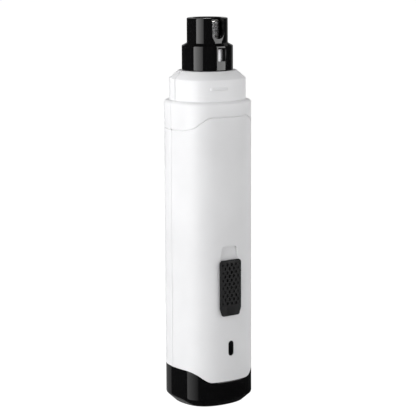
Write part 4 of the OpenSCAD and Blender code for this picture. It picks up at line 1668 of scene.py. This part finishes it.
@dataclass
class Button:
    """The rubbery slide button with its crowned, dimpled face.

    Attributes:
        middle: Its distance to the side of the handle's middle.
        width: Its width.
        height: Its height.
        low: Height of its lower end.
        back: Its back face.
        face: Its front face.
        corner: Radius of its corners.
        taper_h: Height over which its lower end draws in.
        taper: Share of its width left at its lower end.
        bevel: Bevel around its face.
        crown_r: Radius of the crown.
        dimple_r: Radius of a dimple.
        pitch: Spacing of the dimples along a row.
        row_h: Spacing of the rows.
        top_margin: Distance of the highest row from the top.
        band: Height of the plain band below the lowest row.
        most: Dimples in a longer row.
    """

    middle: float
    width: float
    height: float
    low: float
    back: float
    face: float
    corner: float = 1.3 * MM
    taper_h: float = 3.2 * MM
    taper: float = 0.86
    bevel: float = 0.7 * MM
    crown_r: float = 36.0 * MM
    dimple_r: float = 0.62 * MM
    pitch: float = 2.25 * MM
    row_h: float = 1.7 * MM
    top_margin: float = 1.9 * MM
    band: float = 4.4 * MM
    most: int = 5

    def pad(self) -> bpy.types.Object:
        """Return the button's pad with rounded corners and a bevelled, crowned face."""
        half = self.width / 2
        high = self.low + self.height
        pad = block("switch_button_pad",
                    Vector((self.middle - half, self.face - 0.05 * MM, self.low)),
                    Vector((self.middle + half, self.back, high)))
        near = 0.01 * MM
        with editing(pad):
            bpy.ops.mesh.select_mode(type="EDGE")
            mesh = bmesh.from_edit_mesh(pad.data)
            for edge in mesh.edges:
                along = edge.verts[1].co - edge.verts[0].co
                edge.select_set(abs(along.y) > near)
            bmesh.update_edit_mesh(pad.data)
            bpy.ops.mesh.bevel(offset=self.corner, segments=6, affect="EDGES")
            bpy.ops.mesh.select_all(action="SELECT")
            bpy.ops.mesh.bisect(plane_co=(0, 0, self.low + self.taper_h), plane_no=(0, 0, 1))
            pick(pad, lambda co: co.z < self.low + self.corner + near)
            bpy.ops.transform.resize(value=(self.taper, 1, 1))
            pick(pad, lambda co: co.y < self.face)
            bpy.ops.mesh.region_to_loop()
            bpy.ops.mesh.bevel(offset=self.bevel, segments=3, affect="EDGES")
        face_outwards(pad)
        at = Vector((self.middle, self.face + self.crown_r, self.low - 1 * MM))
        crown = rod("crown", self.crown_r, at, self.height + 2 * MM, Axis.Z, 361)
        combine(pad, crown, "INTERSECT")
        return pad

    def dimples(self) -> bpy.types.Object:
        """Return the cutter of the staggered dimples, each a shallow cone."""
        rows = int((self.height - self.top_margin - self.band) / self.row_h)
        clear_selection()
        depth = 0.9 * MM
        sunk = 0.65 * MM
        floor_share = 1.05
        mouth_share = 1.25
        bpy.ops.mesh.primitive_cone_add(vertices=24, radius1=self.dimple_r * floor_share,
                                        radius2=self.dimple_r * mouth_share, depth=depth,
                                        rotation=Axis.Y.value)
        first = name_new_piece("dimple_cutter")
        apply_place(first)
        cutters = []
        for row in range(rows + 1):
            count = self.most - row % 2
            for place in range(count):
                copy = duplicate(first)
                copy.location = (self.middle + (place - (count - 1) / 2) * self.pitch,
                                 self.face + sunk - depth / 2,
                                 self.low + self.height - self.top_margin - row * self.row_h)
                apply_place(copy)
                cutters.append(copy)
        discard(first)
        return join(cutters)

    def build(self) -> None:
        """Build the button and install it."""
        pad = self.pad()
        carve(pad, self.dimples())
        half = 1.5 * MM
        stem_low = 50.5 * MM
        stem_high = 55.5 * MM
        stem_end = -13.8 * MM
        stem = block("switch_stem",
                     Vector((self.middle - half, self.back - 0.01 * MM, stem_low)),
                     Vector((self.middle + half, stem_end, stem_high)))
        soften_edges(stem, 0.15 * MM, 50)
        piece = join([pad, stem])
        smooth(piece)
        install(piece, Body.SWITCH, Slot.GRIP_BLACK, "switch_button")


@dataclass
class Nose:
    """The silver spigot that the guard pushes onto.

    Attributes:
        flange_z: Height of its flange's underside.
        top: Height of its top.
        flange_h: Thickness of the flange.
        flange_r: Radius of the flange.
        radius: Radius of the spigot.
        ring_z: Height of the groove for the grip ring.
        ring_t: Height of the groove.
        ring_w: Depth of the groove.
        bearing_r: Radius of the bearing's seat.
        bearing_z: Height of the bearing's seat.
    """

    flange_z: float
    top: float
    flange_h: float = 2.5 * MM
    flange_r: float = 10.95 * MM
    radius: float = 9.15 * MM
    ring_z: float = 147.3 * MM
    ring_t: float = 1.6 * MM
    ring_w: float = 1.2 * MM
    bearing_r: float = 5.0 * MM
    bearing_z: float = 148.2 * MM

    def build(self) -> None:
        """Build the spigot and install it."""
        lead = 0.6 * MM
        profile = [(self.flange_z, self.bearing_r - 0.6 * MM), (self.flange_z, self.flange_r),
                   (self.flange_z + self.flange_h, self.flange_r),
                   (self.flange_z + self.flange_h, self.radius),
                   (self.ring_z, self.radius), (self.ring_z, self.radius - self.ring_w),
                   (self.ring_z + self.ring_t, self.radius - self.ring_w),
                   (self.ring_z + self.ring_t, self.radius),
                   (self.top - lead - 0.1 * MM, self.radius),
                   (self.top - lead + 0.1 * MM, self.radius - 0.1 * MM),
                   (self.top - 0.1 * MM, self.radius - lead + 0.1 * MM),
                   (self.top, self.radius - lead - 0.1 * MM),
                   (self.top, self.bearing_r + 0.2 * MM),
                   (self.top - 0.2 * MM, self.bearing_r), (self.bearing_z, self.bearing_r),
                   (self.bearing_z, self.bearing_r - 0.6 * MM)]
        piece = turned("nose_spigot_body", profile, 128)
        smooth(piece)
        install(piece, Body.HANDLE, Slot.SPIGOT_SILVER, "nose_spigot")


@dataclass
class AbrasiveBand:
    """The sleeve of bonded grit on the drum.

    Attributes:
        radius: Its outer radius.
        inner: Its inner radius.
        low: Height of its lower end.
        high: Height of its upper end.
        relief: Height of the grains.
        rim_h: Height of the bare, rounded rim at its upper end.
    """

    radius: float
    inner: float
    low: float
    high: float
    relief: float = 0.22 * MM
    rim_h: float = 0.5 * MM

    def build(self) -> None:
        """Build the band and install it."""
        soft = 0.2 * MM
        count = 40
        face = self.radius - self.relief
        rise = (self.high - self.low - 2 * soft) / count
        profile = [(self.low, self.inner), (self.low, face - soft)]
        profile += [(self.low + soft + step * rise, face) for step in range(count + 1)]
        rim = self.high - self.rim_h
        profile = [spot for spot in profile if spot[0] < rim - soft]
        profile += [(rim - 0.05 * MM, face), (rim, face)]
        for step in range(1, 5):
            angle = math.pi / 2 * step / 4
            profile.append((rim + self.rim_h * math.sin(angle),
                            face - self.rim_h * (1 - math.cos(angle))))
        profile.append((self.high, self.inner))
        piece = turned("abrasive_band_body", profile, 192)
        grains = bpy.data.textures.new("grains", type="VORONOI")
        grains.noise_scale = 0.55 * MM
        grains.distance_metric = "DISTANCE"
        near = 0.01 * MM
        outer = piece.vertex_groups.new(name="outer")
        indices = [v.index for v in piece.data.vertices
                   if v.co.xy.length > face - near and v.co.z < rim - 2 * near]
        outer.add(indices, 1.0, "REPLACE")
        apply_modifier(piece, "DISPLACE", texture=grains, strength=-self.relief * 1.9,
                       mid_level=0.55, vertex_group="outer", texture_coords="LOCAL")
        smooth(piece, 60)
        install(piece, Body.SPINDLE, Slot.GRIT, "abrasive_band")
        piece.data.materials.append(Slot.NICKEL.material)
        for side in piece.data.polygons:
            side.material_index = int(side.center.z > rim - near)


# ---------------------------------------------------------------- studio


@dataclass(frozen=True)
class Softbox:
    """A rectangular studio light that faces the handle.

    Attributes:
        name: The light's name.
        bearing: Its bearing in degrees from the camera's side, to the right.
        height: Height of its centre.
        width: Its width.
        tall: Its height from edge to edge.
        radiance: How bright its face is.
        fade: Share of that brightness left at its edge on the camera's right.
        is_sheen: Whether it shows only as a reflection, or only lights matt faces.
        distance: Its distance from the handle's axis.
    """

    name: str
    bearing: float
    height: float
    width: float
    tall: float
    radiance: float
    fade: float = 1.0
    is_sheen: bool = False
    distance: float = 1.0

    def place(self, camera_bearing: float) -> None:
        """Add the light to the scene.

        Args:
            camera_bearing: The camera's bearing in radians.
        """
        angle = camera_bearing + math.radians(self.bearing)
        spot = Vector((math.sin(angle) * self.distance, -math.cos(angle) * self.distance,
                       self.height))
        light = bpy.data.lights.new(self.name, "AREA")
        light.shape = "RECTANGLE"
        light.size = self.width
        light.size_y = self.tall
        light.energy = self.radiance * math.pi * self.width * self.tall
        lamp = bpy.data.objects.new(self.name, light)
        bpy.context.scene.collection.objects.link(lamp)
        lamp.location = spot
        lamp.rotation_mode = "QUATERNION"
        lamp.rotation_quaternion = (Vector((0, 0, self.height)) - spot).to_track_quat("-Z", "Y")
        lamp.visible_diffuse = not self.is_sheen
        lamp.visible_glossy = self.is_sheen
        if self.fade < 1:
            light.use_nodes = True
            graph = Graph(light.node_tree)
            across = graph.add("ShaderNodeNewGeometry").outputs["Parametric"]
            share = graph.add("ShaderNodeSeparateXYZ", {0: across}).outputs["X"]
            power = graph.spread(share, 0.0, 1.0, 1.0, self.fade)
            glow = graph.add("ShaderNodeEmission", {"Strength": power})
            graph.add("ShaderNodeOutputLight", {"Surface": glow.outputs[0]})


@dataclass(frozen=True)
class Camera:
    """The camera, which faces the handle's axis from a bearing and looks a little down.

    Attributes:
        bearing: Its bearing in degrees about the axis, 0 at the front.
        distance: Its level distance from the axis.
        height: Its height.
        pitch: How far it looks down, in degrees.
        roll: Its turn about its own line of sight, in degrees.
        lens: Its focal length in millimetres.
    """

    bearing: float = -35.14
    distance: float = 0.7559
    height: float = 0.2136
    pitch: float = 9.631
    roll: float = -0.25
    lens: float = 152.27

    def place(self) -> None:
        """Add the camera to the scene."""
        angle = math.radians(self.bearing)
        data = bpy.data.cameras.new("camera")
        data.lens = self.lens
        data.sensor_width = 36.0
        data.clip_start = 0.05
        data.clip_end = 20.0
        camera = bpy.data.objects.new("camera", data)
        bpy.context.scene.collection.objects.link(camera)
        turn = (Matrix.Rotation(angle, 4, "Z")
                @ Matrix.Rotation(math.radians(90 - self.pitch), 4, "X")
                @ Matrix.Rotation(math.radians(self.roll), 4, "Z"))
        spot = Vector((math.sin(angle) * self.distance, -math.cos(angle) * self.distance,
                       self.height))
        camera.matrix_world = Matrix.Translation(spot) @ turn
        bpy.context.scene.camera = camera


@dataclass
class Studio:
    """A pale floor, a white surround and softboxes.

    The gloss pieces are lit apart from the matt ones, so each softbox is for one or the other.

    Attributes:
        camera: The camera, which the softboxes' bearings are counted from.
        lights: The softboxes.
    """

    camera: Camera = field(default_factory=Camera)
    lights: tuple[Softbox, ...] = (
        Softbox("key", bearing=-46.0, height=0.19, width=0.80, tall=1.25, radiance=7.9, fade=0.42),
        Softbox("fill", bearing=68.0, height=0.19, width=0.80, tall=1.25, radiance=1.85),
        Softbox("rim_left", bearing=-125.0, height=0.19, width=0.70, tall=1.25, radiance=1.5),
        Softbox("rim_right", bearing=125.0, height=0.19, width=0.50, tall=1.25, radiance=4.2),
        Softbox("key_sheen", bearing=-42.0, height=0.5, width=0.80, tall=1.0, radiance=4.2,
                fade=0.22, is_sheen=True),
        Softbox("fill_sheen", bearing=66.0, height=0.5, width=0.80, tall=1.0, radiance=4.0,
                is_sheen=True),
        Softbox("rim_sheen", bearing=148.0, height=0.5, width=0.45, tall=1.0, radiance=0.15,
                is_sheen=True),
        Softbox("low_sheen", bearing=-48.0, height=-0.5, width=0.86, tall=1.0, radiance=1.25,
                fade=0.12, is_sheen=True),
        Softbox("back_sheen", bearing=180.0, height=0.30, width=0.6, tall=0.4, radiance=0.3,
                is_sheen=True),
        Softbox("low_side_sheen", bearing=-146.0, height=-0.5, width=0.9, tall=1.0, radiance=0.25,
                is_sheen=True),
    )

    def world(self) -> None:
        """Set a surround that is white to the camera, soft to matt faces, dim to gloss."""
        world = bpy.data.worlds.new("surround")
        bpy.context.scene.world = world
        world.use_nodes = True
        graph = Graph(world.node_tree)
        path = graph.add("ShaderNodeLightPath")
        matt = graph.add("ShaderNodeBackground", {"Color": rgba((1, 1, 1)), "Strength": 0.22})
        gloss = graph.add("ShaderNodeBackground", {"Color": rgba((1, 1, 1)), "Strength": 0.02})
        white = graph.add("ShaderNodeBackground", {"Color": rgba((1, 1, 1)), "Strength": 1.0})
        seen = graph.add("ShaderNodeMixShader", {0: path.outputs["Is Glossy Ray"],
                                                 1: matt.outputs[0], 2: gloss.outputs[0]})
        whole = graph.add("ShaderNodeMixShader", {0: path.outputs["Is Camera Ray"],
                                                  1: seen.outputs[0], 2: white.outputs[0]})
        graph.add("ShaderNodeOutputWorld", {"Surface": whole.outputs[0]})

    def floor(self) -> None:
        """Add the pale floor, which glows a little and takes a faint shadow."""
        size = 8.0
        clear_selection()
        bpy.ops.mesh.primitive_plane_add(size=size, location=(0, 0, -0.02 * MM))
        floor = name_new_piece("floor")
        apply_place(floor)
        material = bpy.data.materials.new("floor")
        material.use_nodes = True
        graph = Graph(material.node_tree)
        path = graph.add("ShaderNodeLightPath")
        paper = graph.noise(900.0, 3.0)
        rough = graph.spread(paper, 0.3, 0.7, 0.7, 0.9)
        glow = graph.add("ShaderNodeEmission", {"Color": rgba((1, 1, 1)), "Strength": 0.985})
        lit = graph.add("ShaderNodeBsdfPrincipled",
                        {"Base Color": rgba((0.12, 0.12, 0.12)), "Roughness": rough})
        both = graph.add("ShaderNodeAddShader", {0: glow.outputs[0], 1: lit.outputs[0]})
        dim = graph.add("ShaderNodeBsdfDiffuse", {"Color": rgba((0.6, 0.6, 0.6))})
        whole = graph.add("ShaderNodeMixShader", {0: path.outputs["Is Camera Ray"],
                                                  1: dim.outputs[0], 2: both.outputs[0]})
        graph.add("ShaderNodeOutputMaterial", {"Surface": whole.outputs[0]})
        floor.data.materials.append(material)
        floor.visible_glossy = False

    def build(self) -> None:
        """Build the studio."""
        self.world()
        self.floor()
        self.camera.place()
        bearing = math.radians(self.camera.bearing)
        for light in self.lights:
            light.place(bearing)
        settings = bpy.context.scene.view_settings
        settings.view_transform = "Standard"
        settings.look = "None"
        LOG.info("studio: %d softboxes and the camera", len(self.lights))


def finish_plain_nodes() -> None:
    """Give each carried-over node the finish of its material slot."""
    slots = {slot.value.name: slot for slot in Slot}
    for node, piece in frame["nodes"].items():
        name = record_slot_of(node)
        if name in slots and not piece.hide_render:
            dress(piece, slots[name])
            smooth(piece, PLAIN_CREASE)
    LOG.info("finishes: %d materials", len(bpy.data.materials))


def record_slot_of(node: str) -> str:
    """Return the material slot that the record gives a node.

    Args:
        node: The node's name.

    Returns:
        The slot's name, or nothing where the record gives none.
    """
    for part in frame["record"].get("subparts", []):
        if part.get("node") == node or part.get("name") == node:
            return part.get("material_slot") or part.get("slot") or ""
    return ""


def main() -> None:
    """Build the trimmer and its studio."""
    logging.basicConfig(level=logging.INFO, format="%(name)s: %(message)s")
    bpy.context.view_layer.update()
    section = Section.measured()
    guard_low, guard_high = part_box("guard")
    button_low, button_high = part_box("switch_button")
    nose_low, nose_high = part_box("nose_spigot")
    band_low, band_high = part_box("abrasive_band")
    lens_low, lens_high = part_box("indicator_lens")

    shells = Shells(section)
    body = shells.body()
    rear = duplicate(body)
    travel = 5.6 * MM
    spare = 0.3 * MM
    well_up = 6.8 * MM        # the well's lower end stays under the button
    step_up = 10.6 * MM       # from the collar's top to the guard's step
    band_inner = 4.4 * MM
    well_high = button_high.z + travel + spare
    well = SwitchWell(section, low=button_low.z + well_up, kink=well_high - travel,
                      high=well_high, middle=(button_low.x + button_high.x) / 2)
    pill = Pill(width=2.8 * MM, height=6.7 * MM, middle=(lens_low.z + lens_high.z) / 2)
    lens = Lens(section, pill)
    FrontShell(shells, well, lens, CollarBar(section, shells.collar_inset)).build(body)
    RearShell(shells, screw_x=12 * MM, screw_zs=(30 * MM, 128 * MM)).build(rear)
    lens.build()
    BaseCap(section).build()
    Guard(low=guard_low.z, step=section.collar_top + step_up, top=guard_high.z).build()
    Button(middle=well.middle, width=10.9 * MM, height=24.5 * MM, low=button_low.z,
           back=-17.15 * MM, face=button_low.y).build()
    Nose(flange_z=nose_low.z, top=nose_high.z).build()
    AbrasiveBand(band_high.x, band_inner, band_low.z, band_high.z).build()
    finish_plain_nodes()
    Studio().build()


if __name__ == "__main__":
    main()
